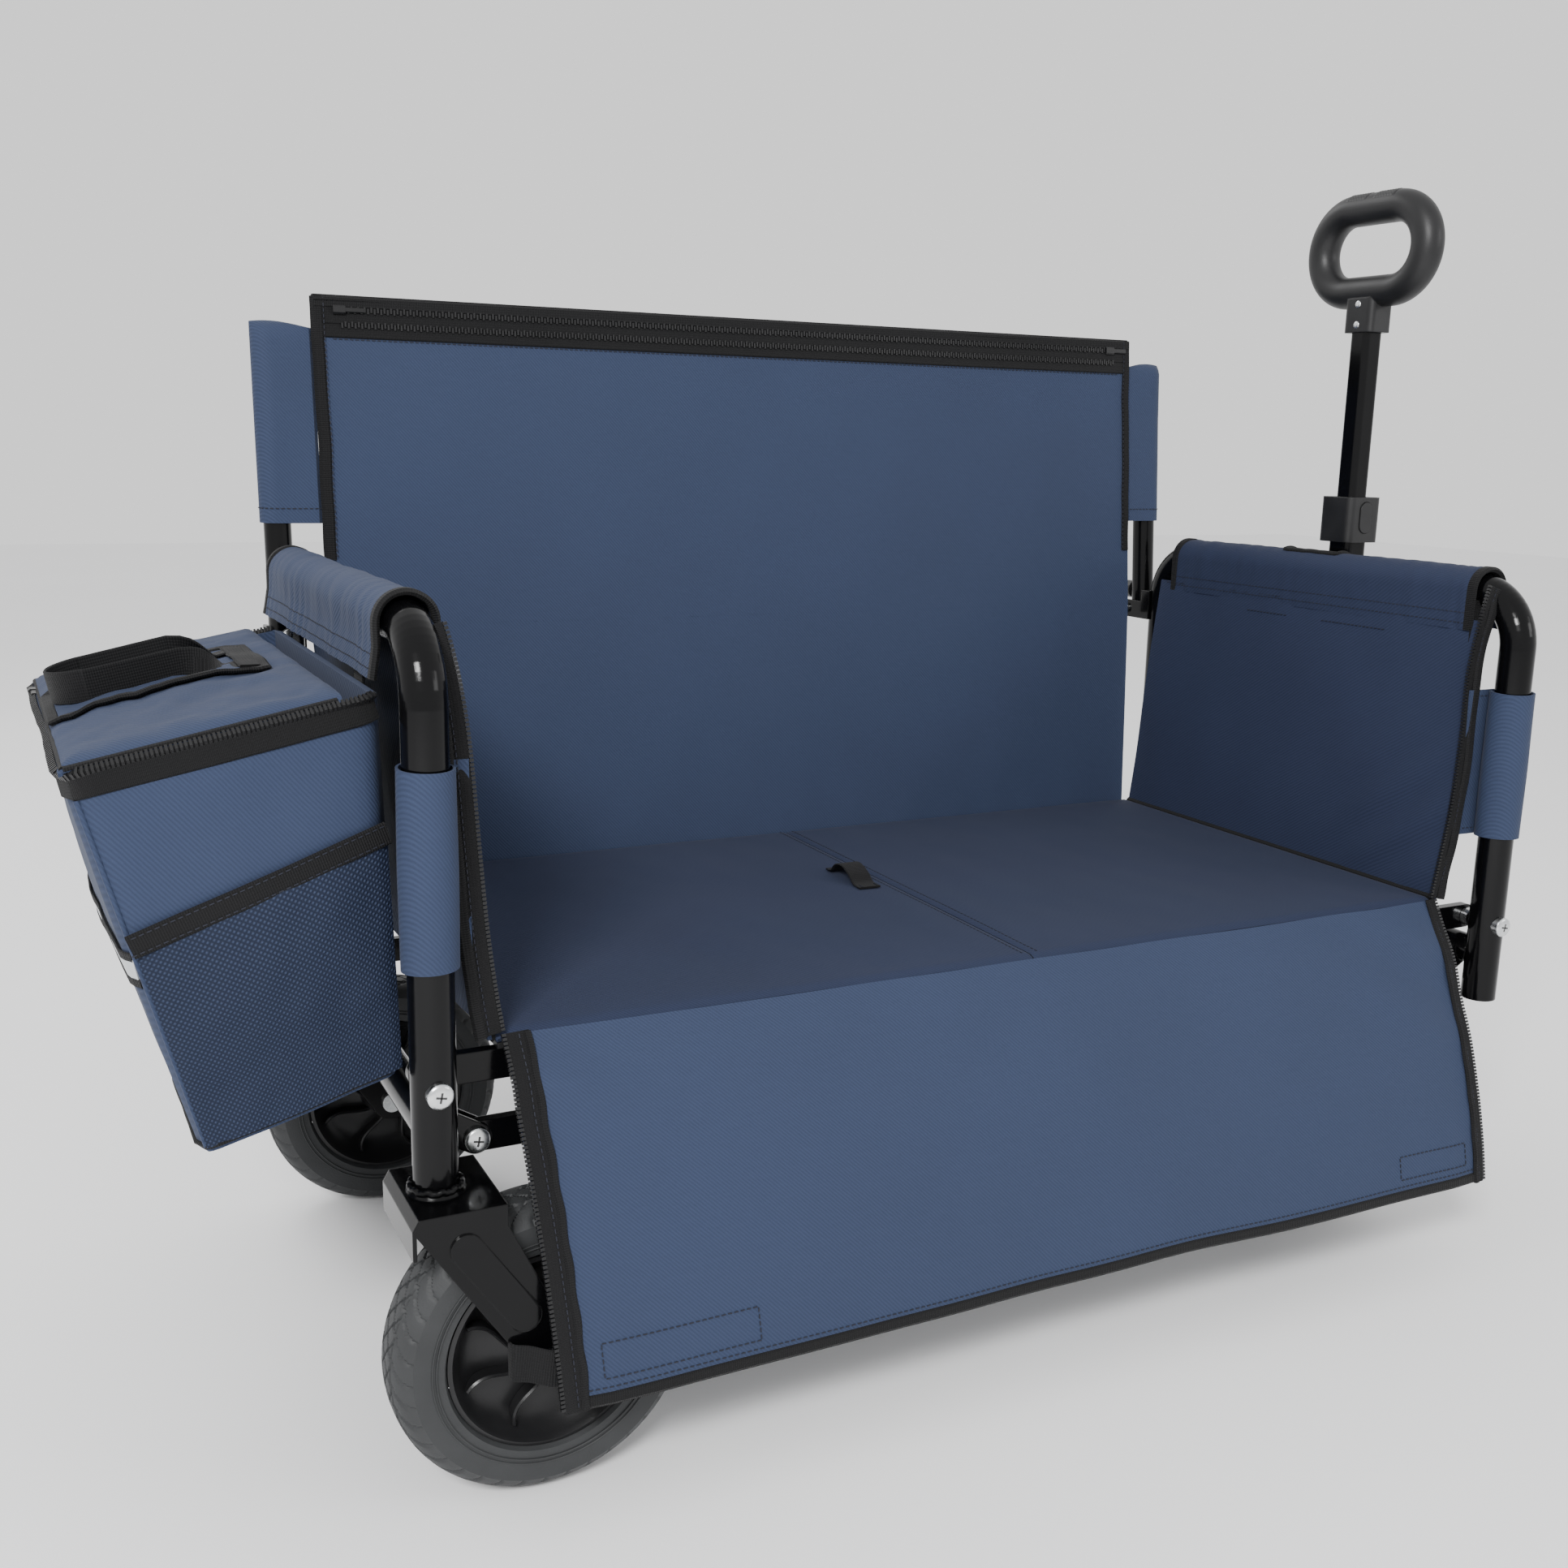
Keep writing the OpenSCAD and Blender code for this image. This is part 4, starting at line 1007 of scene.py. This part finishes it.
def lerp(a, b, t):
    return tuple(p + (q - p) * t for p, q in zip(a, b))


def bag_point(c, y01, v):
    """c runs 0 outboard to 1 inboard, y01 front to rear, v top to bottom."""
    o, i = lerp(OUT_TOP, OUT_LOW, v), lerp(IN_TOP, IN_LOW, v)
    x, z = lerp(o, i, c)
    y = BAG_F + (BAG_R - BAG_F) * y01
    return x, y, z


def bag_ring(v, grow=0.0, n=24):
    """A closed ring round the bag with rounded corners and soft sides."""
    r = 0.016
    out = []
    width, depth = 0.16, BAG_R - BAG_F
    sag = sin(pi * min(1, max(0, v)))
    sides = [(0, 0, 1, 0), (1, 0, 1, 1), (1, 1, 0, 1), (0, 1, 0, 0)]
    for k, (c0, y0, c1, y1) in enumerate(sides):
        for j in range(n):
            t = j / n
            s = r / (width if k % 2 == 0 else depth)
            e = min(t, 1 - t)
            pull = 0.0
            if e < s:
                q = 1 - e / s
                pull = r * 0.29 * q * q
            c, y01 = c0 + (c1 - c0) * t, y0 + (y1 - y0) * t
            x, y, z = bag_point(c, y01, v)
            bulge = 0.0055 * sag * sin(pi * t) ** 0.8
            bulge += soft((x, y, z), 14, 0.0028, 80 + k) * sin(pi * t)
            bulge += soft((x, y, z), 38, 0.0009, 86 + k) * sin(pi * t)
            if k == 1:
                bulge = min(bulge, 0) * 0.5
            push = bulge - pull + grow
            cx = (0, 1, 0, -1)[k]
            cy = (-1, 0, 1, 0)[k]
            corner = pull * 0.9
            tx = (1 if t < 0.5 else -1) * corner * (c1 - c0)
            ty = (1 if t < 0.5 else -1) * corner * (y1 - y0)
            out.append((at(LEFT, x + cx * push + tx), y + cy * push + ty, z))
    return np.array(out)


def bag():
    n = 24
    levels = np.linspace(0, 1, 40)
    rings = [bag_ring(v, 0, n) for v in levels]
    centre = np.mean(rings[-1], axis=0)
    for k, s in enumerate((0.97, 0.9, 0.75, 0.5, 0.2)):
        ring = centre + (rings[len(levels) - 1] - centre) * s
        ring[:, 2] -= 0.003 * (1 - s) + (0.0016 if k else 0.0008)
        rings.append(ring)
    inside = [bag_ring(v, -0.0045, n) for v in np.linspace(1, 0, 20)]
    floor = [centre + (inside[0] - centre) * s + np.array([0, 0, 0.006]) for s in (0.0, 0.4, 0.8)]
    rings = rings + [centre + (rings[-1] - centre) * 0.0] + floor + inside
    m = 4 * n
    per = run_length(rings[0])
    verts = np.concatenate(rings)
    down = 0.0
    uv = []
    for i, ring in enumerate(rings):
        if i:
            down += float(np.linalg.norm(rings[i] - rings[i - 1], axis=1).mean())
        uv += [(per[k], down) for k in range(m)]
    faces = []
    for i in range(len(rings) - 1):
        for k in range(m):
            q = (k + 1) % m
            faces.append([i * m + k, (i + 1) * m + k, (i + 1) * m + q, i * m + q])
    last = (len(rings) - 1) * m
    faces += [[last + k, k, (k + 1) % m, last + (k + 1) % m][::-1] for k in range(m)]
    faces = [f[::-1] for f in faces]
    b = Build()
    b.add(verts, faces, uv)
    for corner in (0, 3 * n):
        path = np.array([bag_ring(v, 0.0, n)[corner] for v in np.linspace(0.06, 0.985, 40)])
        b.tube(path, 0.0019, 8)
    body = b.make("bag_cloth", [CLOTH], "cloth", 50)
    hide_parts("bag_body")

    t = Build()

    def front(c, v, lift):
        x, y, z = bag_point(c, 0, v)
        sag = sin(pi * v)
        bulge = 0.0055 * sag * sin(pi * c) ** 0.8
        bulge += soft((x, y, z), 14, 0.0028, 80) * sin(pi * c)
        return (at(LEFT, x), y - bulge - lift, z)

    band = [(0.02, 0.43), (0.5, 0.385), (0.985, 0.345)]

    def edge(c):
        return np.interp(c, *zip(*band))

    path = np.array([front(c, edge(c), 0.003) for c in np.linspace(0.02, 0.985, 40)])
    t.ribbon(path, Z, 0.0145, 0.0022)
    for dz in (-0.0052, 0.0052):
        t.stitch(path + [0, -0.0012, dz], Z, 2)

    def pocket(u, v):
        c = 0.03 + 0.955 * u
        top = edge(c)
        d = top + (0.985 - top) * v
        puff = 0.0018 + 0.0045 * sin(pi * u) * sin(pi * min(1, v * 1.2 + 0.1) * 0.9)
        puff += soft((u * 6, v * 6, 0), 1, 0.0012, 91)
        return front(c, d, puff * min(1, min(u, 1 - u) / 0.05 + 0.3))

    t.sheet(grid(46, 40, pocket), 0.001, 1, flip=True)
    for z0, mat, w in ((0.5, 3, 0.015), (0.465, 0, 0.006), (0.535, 0, 0.006)):
        rows = []
        for k in np.linspace(0.012, 0.985, 50):
            j = 3 * n + (1 - k) * n
            lo = int(j)
            ring = bag_ring(z0, 0.0012 if mat == 3 else 0.0018, n)
            f = j - lo
            rows.append(ring[lo % m] * (1 - f) + ring[(lo + 1) % m] * f)
        t.ribbon(rows, (0.26, 0, -1), w, 0.0014, mat)
    tape = bag_ring(0.03, 0.0008, n)
    path = np.concatenate([tape[2 * n:], tape[:n + 1]])
    t.ribbon(path, (0.2, 0, -1), 0.0145, 0.0026, 4)
    coil = bag_ring(0.0, 0.001, n) + [0, 0, 0.0006]
    path = np.concatenate([coil[2 * n:], coil[:n + 1]])
    t.tube(path, 0.0021, 8, 4)
    side = np.gradient(path, axis=0)
    outward = unit(np.cross(side, [0, 0, 1]))
    t.blocks(path, outward * 0.6 + [0, 0, 0.8], (0.0008, 0.0024, 0.0024), 0.0026, 5, 0.0002)
    low = bag_ring(0.985, 0.0006, n)
    t.tube(np.concatenate([low, low[:1]]), 0.0016, 8)
    trim = t.make("bag_trim", [WEB, NET, THREAD, REFLECT, TAPE, TEETH], "webbing")
    slide = Build()
    slider(slide, path[n + 3] + [0, 0, 0.003], side[n + 3], outward[n + 3])
    slide = slide.make("bag_slider", [TEETH, TEETH, TEETH], "plastic")
    for ob in (body, trim, slide):
        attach(ob, "left_frame")

    straps = Build()
    for y in (-0.13, 0.08):
        arc = [(at(LEFT, STRAP_R * cos(a)), y, ARM_Z + STRAP_R * sin(a)) for a in np.linspace(-0.5, pi, 26)]
        fall = [(at(LEFT, -STRAP_R - 0.00032 * k), y, ARM_Z - 0.008 * k) for k in range(1, 8)]
        straps.ribbon(arc + fall, Y, 0.025, 0.0016)
    straps = straps.make("bag_hanging_webbing", [WEB], "webbing")
    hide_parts("bag_straps")
    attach(straps, "left_frame")


def on_lid(x, y, h):
    """A point x along the slanting lid from its hinge and h above it."""
    foot = (IN_TOP[0] - 0.022 * cos(LID_A), IN_TOP[1] - 0.022 * sin(LID_A))
    px = foot[0] + x * cos(LID_A) - h * sin(LID_A)
    pz = foot[1] + x * sin(LID_A) + h * cos(LID_A)
    return (at(LEFT, px), y, pz)


def lid_height(u, v):
    """u 0 outboard to 1 inboard, v front to rear."""
    rim = min(1, min(u / 0.1, (1 - u) / 0.05 + 0.35, v / 0.05, (1 - v) / 0.05))
    h = 0.0024 + 0.0065 * sin(pi / 2 * max(0, rim)) ** 0.7
    h += 0.0035 * sin(pi * u) * sin(pi * v)
    h += soft((u * 4, v * 7, 0), 1.3, 0.003, 95) * rim + soft((u * 9, v * 16, 0), 1.4, 0.0012, 97) * rim
    return h


def bag_lid():
    w = LID_W
    b = Build()
    P = grid(44, 76, lambda u, v: on_lid(-w + w * u, BAG_F + 0.001 + 0.348 * v, lid_height(u, v)))
    b.sheet(P, 0.0022)
    lid = b.make("bag_lid_cloth", [CLOTH], "cloth")
    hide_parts("bag_lid")
    t = Build()
    mid_y = (BAG_F + BAG_R) / 2

    def above(x, y, lift):
        u, v = (x + w) / w, (y - BAG_F) / (BAG_R - BAG_F)
        return on_lid(x, y, lid_height(u, v) + lift)

    def flap_point(u, v):
        return above(-0.15 + 0.128 * u, mid_y - 0.05 + 0.1 * v, 0.002 + 0.0012 * sin(3.1 * u))

    flap = grid(26, 12, flap_point)
    t.sheet(flap, 0.0014, 1)
    ring = np.concatenate([flap[:, 0], flap[-1, 1:], flap[-2::-1, -1], flap[0, -2:0:-1]])
    out = unit(ring - flap.mean(axis=(0, 1)))
    t.ribbon(ring, out, 0.0085, 0.003, 0, closed=True)
    t.ribbon([above(-0.03, mid_y + k, 0.0032) for k in np.linspace(-0.044, 0.044, 13)], X, 0.014, 0.0022)
    rim = [on_lid(-w + 0.003, BAG_F + 0.003 + 0.344 * k / 30, 0.0032) for k in range(31)]
    t.tube(rim, 0.0022, 8)
    for y in (BAG_F + 0.003, BAG_R - 0.003):
        rim = [on_lid(-w + 0.003 + (w - 0.006) * k / 20, y, 0.0032) for k in range(21)]
        t.tube(rim, 0.0022, 8)
    trim = t.make("bag_lid_trim", [WEB, CLOTH], "webbing")
    s = Build()
    r, leg = 0.0288, 0.084
    pts = [(-0.036, -r, 0.004), (-0.06, -r * 1.02, 0.0015), (-0.034 - leg, -r, 0.0006)]
    pts += [(-0.034 - leg - r * sin(a), -r * cos(a), 0.001) for a in np.linspace(0.35, pi - 0.35, 7)]
    pts += [(-0.034 - leg, r, 0.0006), (-0.06, r * 1.02, 0.003), (-0.036, r, 0.006)]
    path = curve([on_lid(x, mid_y + y, 0.012 + 0.0105 + h * 0.4) for x, y, h in pts], 90)
    up = np.array(on_lid(0, 0, 1)) - np.array(on_lid(0, 0, 0))
    k = np.linspace(-1, 1, len(path))
    flat = np.clip((np.abs(k) - 0.8) / 0.14, 0, 1)[:, None]
    path -= up * flat * 0.0105
    lean = (k * 0.16)[:, None] + 1.6 * flat * np.sign(k)[:, None] * -1
    s.ribbon(path, up * (1 - flat * 0.93) + lean * np.array([[0, 1, 0]]), 0.0215, 0.0018)
    strap = s.make("carry_webbing", [WEB], "webbing")
    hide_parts("carry_strap")
    for ob in (lid, trim, strap):
        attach(ob, "bag_lid")


# ---------- wheels ----------


def tyre_profile(r, w, bead):
    """The outside of a tyre of radius r and width w, from bead to bead."""
    h = w / 2
    side = [(bead, -h + 0.005), (bead + 0.002, -h + 0.0015), (r * 0.8, -h), (r * 0.88, -h + 0.0006)]
    tread = []
    for y in np.linspace(-h + 0.0024, h - 0.0024, 44):
        q = abs(y) / (h - 0.0024)
        tread.append((r - 0.0098 * q**3.2, y))
    return side + tread + [(a, -b) for a, b in reversed(side)]


def tread(r, w):
    """Cuts the tread's grooves into the tyre's profile."""
    pitch = 2 * pi / round(2 * pi * r / 0.0165)

    def shape(a, rad, y):
        depth = rad - r * 0.885
        if depth < 0:
            return rad
        q = abs(y) / (w / 2)
        cut = 0.0
        bend = a / pitch + (0.34 if y > 0 else -0.16)
        if q < 0.4:
            for s in (1, -1):
                f = (a / pitch + s * y / 0.0125) % 1.0
                cut = max(cut, 1 - abs(f - 0.5) / 0.075)
        elif q < 0.47:
            cut = 1.2
        else:
            f = (bend + 0.55 * sin(q * 5.2)) % 1.0
            cut = max(0.0, 1 - abs(f - 0.5) / (0.07 + 0.16 * max(0, q - 0.6)))
        return rad - 0.0019 * min(1.0, max(0.0, cut) * 1.6)

    return shape


def wheel(name, body, place, r, w, bead, hub_w, k):
    b = Build()
    b.lathe(tyre_profile(r, w, bead), place, k, 0, tread(r, w))
    for y in (-w / 2 + 0.0002, w / 2 - 0.0002):
        for rad in (bead + (r - bead) * 0.22, bead + (r - bead) * 0.3):
            b.tube([around(place, rad, a, y) for a in np.linspace(0, 2 * pi, 97)], 0.0006, 6)
    tyre = b.make(f"{name}_tread", [RUBBER], "tyre", 30)
    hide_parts(f"{name}_tyre")
    m = Build()
    h = w / 2 - 0.003
    deep = 0.0045
    dish = [(bead - 0.0002, h - 0.001), (bead - 0.003, h), (bead - 0.0055, h - 0.003),
            (bead - 0.009, h - 0.01), (bead * 0.72, deep + 0.001), (bead * 0.5, deep),
            (0.021, deep + 0.002), (0.0165, hub_w - 0.004), (0.0145, hub_w), (0.0066, hub_w),
            (0.0062, hub_w - 0.002)]
    m.lathe([(a, -y) for a, y in dish], place, 96, 0)
    m.lathe(dish[::-1], place, 96, 0)
    count = 8
    for s in (-1, 1):
        for i in range(count):
            path = []
            for q in np.linspace(0, 1, 14):
                rad = 0.019 + (bead - 0.01 - 0.019) * q
                a = 2 * pi * i / count + s * 0.3 * sin(q * 2.6) + s * 0.25 * q
                path.append(around(place, rad, a, s * (deep + 0.0045 + 0.0022 * q)))
            m.ribbon(path, Y, np.linspace(0.013, 0.01, 14), 0.0024)
    rim = m.make(f"{name}_dish", [SATIN], "plastic", 35)
    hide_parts(f"{name}_rim")
    for ob in (tyre, rim):
        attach(ob, body)


# ---------- hardware ----------


def dome(b, centre, axis, r, h):
    """A pan head with a cross recess, looking along axis."""
    d = unit(axis)
    a = unit(np.cross(d, [0.2, 0.1, 1.0]))
    c = np.cross(d, a)
    n, rings = 28, [(1.0, 0.0), (1.0, 0.25), (0.93, 0.55), (0.75, 0.8), (0.45, 0.95), (0.12, 1.0)]
    P = [np.array(centre) + r * s * (cos(t) * a + sin(t) * c) + d * h * e
         for s, e in rings for t in np.linspace(0, 2 * pi, n, endpoint=False)]
    faces = band_faces(len(rings), n)
    faces.append([(len(rings) - 1) * n + k for k in range(n)])
    b.add(P, faces, None, 0)
    top = np.array(centre) + d * (h + 0.00005)
    # the cross is a thin flat strip in the second material; on the bolt heads that is the dark recess grey,
    # painted shade for the hollow
    for e in (a, c):
        b.ribbon([top - e * r * 0.42, top, top + e * r * 0.42], np.cross(d, e), r * 0.17, 0.0004, 1)


def bolts():
    for side, name in SIDE_NAME.items():
        b = Build()
        for s in (-1, 1):
            dome(b, (at(side, 0), s * 0.2399, 0.279), (0, s, 0), 0.0079, 0.0022)
            dome(b, (at(side, 0.031), s * 0.2079, 0.2325), (0, s, 0), 0.0079, 0.0022)
            if side < 0:
                dome(b, (at(side, AXLE_IN), s * (POST_Y + 0.0459), AXLE_Z), (0, s, 0), 0.0072, 0.0026)
        dome(b, (at(side, 0), 0.2051, 0.502), (0, -1, 0), 0.0068, 0.0024)
        # the crosses of the bolt heads take the dark recess grey, which is painted shade
        ob = b.make(f"{name}_bolt_heads", [ZINC, RECESS_SHADE], "zinc")
        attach(ob, f"{name}_frame")


def welds():
    """A bead round each left post where it meets its fork."""
    for s, name in ((-1, "front"), (1, "rear")):
        b = Build()
        c = np.array([at(LEFT, 0), s * POST_Y, 0.2168])
        ring = [c + [0.0158 * cos(a), 0.0158 * sin(a), 0.0005 * sin(a * 11) + 0.0003 * sin(a * 23)]
                for a in np.linspace(0, 2 * pi, 130)]
        b.tube(ring, 0.0022, 8)
        ob = b.make(f"{name}_fork_weld", [PAINT], "frame_paint")
        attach(ob, "left_frame")


def handle_details():
    """The dimpled pads of the grip and its two rivets."""
    x = at(RIGHT, -0.028)
    b = Build()
    for y0, y1 in ((-0.0285, -0.0035), (0.0035, 0.0285)):
        def pad(u, v, y0=y0, y1=y1):
            a = radians(28 + 124 * u)
            y = y0 + (y1 - y0) * v
            edge = min(1, min(u, 1 - u) / 0.08) * min(1, min(v, 1 - v) / 0.08)
            dimple = 0.5 + 0.5 * cos(u * 2 * pi * 9) * cos(v * 2 * pi * 8)
            r = 0.0139 + 0.0007 * edge - 0.0004 * dimple * edge
            return (x + r * cos(a), y, 0.88 + r * sin(a))
        b.sheet(grid(72, 64, pad), 0.0005, flip=True)
    pads = b.make("grip_pads", [PLASTIC], "plastic", 60)
    r = Build()
    for z in (0.7965, 0.7785):
        dome(r, (x - 0.0134, 0, z), (-1, 0, 0), 0.0032, 0.001)
    rivets = r.make("grip_rivets", [ZINC, ZINC], "zinc")
    for ob in (pads, rivets):
        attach(ob, "handle_slider")


def paint_nodes():
    kinds = {"frame_paint": PAINT, "tyre": RUBBER, "plastic": PLASTIC, "zinc": ZINC, "board": PLASTIC,
             "cloth": CLOTH, "webbing": WEB}
    slots = {s["node"]: s["material_slot"] for s in frame["record"]["subparts"]}
    for name, ob in nodes.items():
        for s in ob.material_slots:
            s.material = kinds[slots[name]]


paint_nodes()
camera()
stage()
back_upper()
back_lower()
for end in (LEFT, RIGHT):
    wing(end)
    sleeve(end)
    wall(end)
    tab(end)
    seat(end)
pull_strap()
skirt()
bag()
bag_lid()
for s, word in ((-1, "front"), (1, "rear")):
    axle = (at(LEFT, AXLE_IN), s * POST_Y, AXLE_Z)
    wheel(f"left_{word}", f"left_{word}_wheel", axle, 0.1, 0.05, 0.0662, 0.0348, 380)
    axle = (at(RIGHT, 0.102), s * 0.145, 0.087)
    wheel(f"right_{word}", f"right_{word}_wheel", axle, 0.087, 0.04, 0.0612, 0.0272, 260)
bolts()
welds()
handle_details()

bpy.context.view_layer.update()
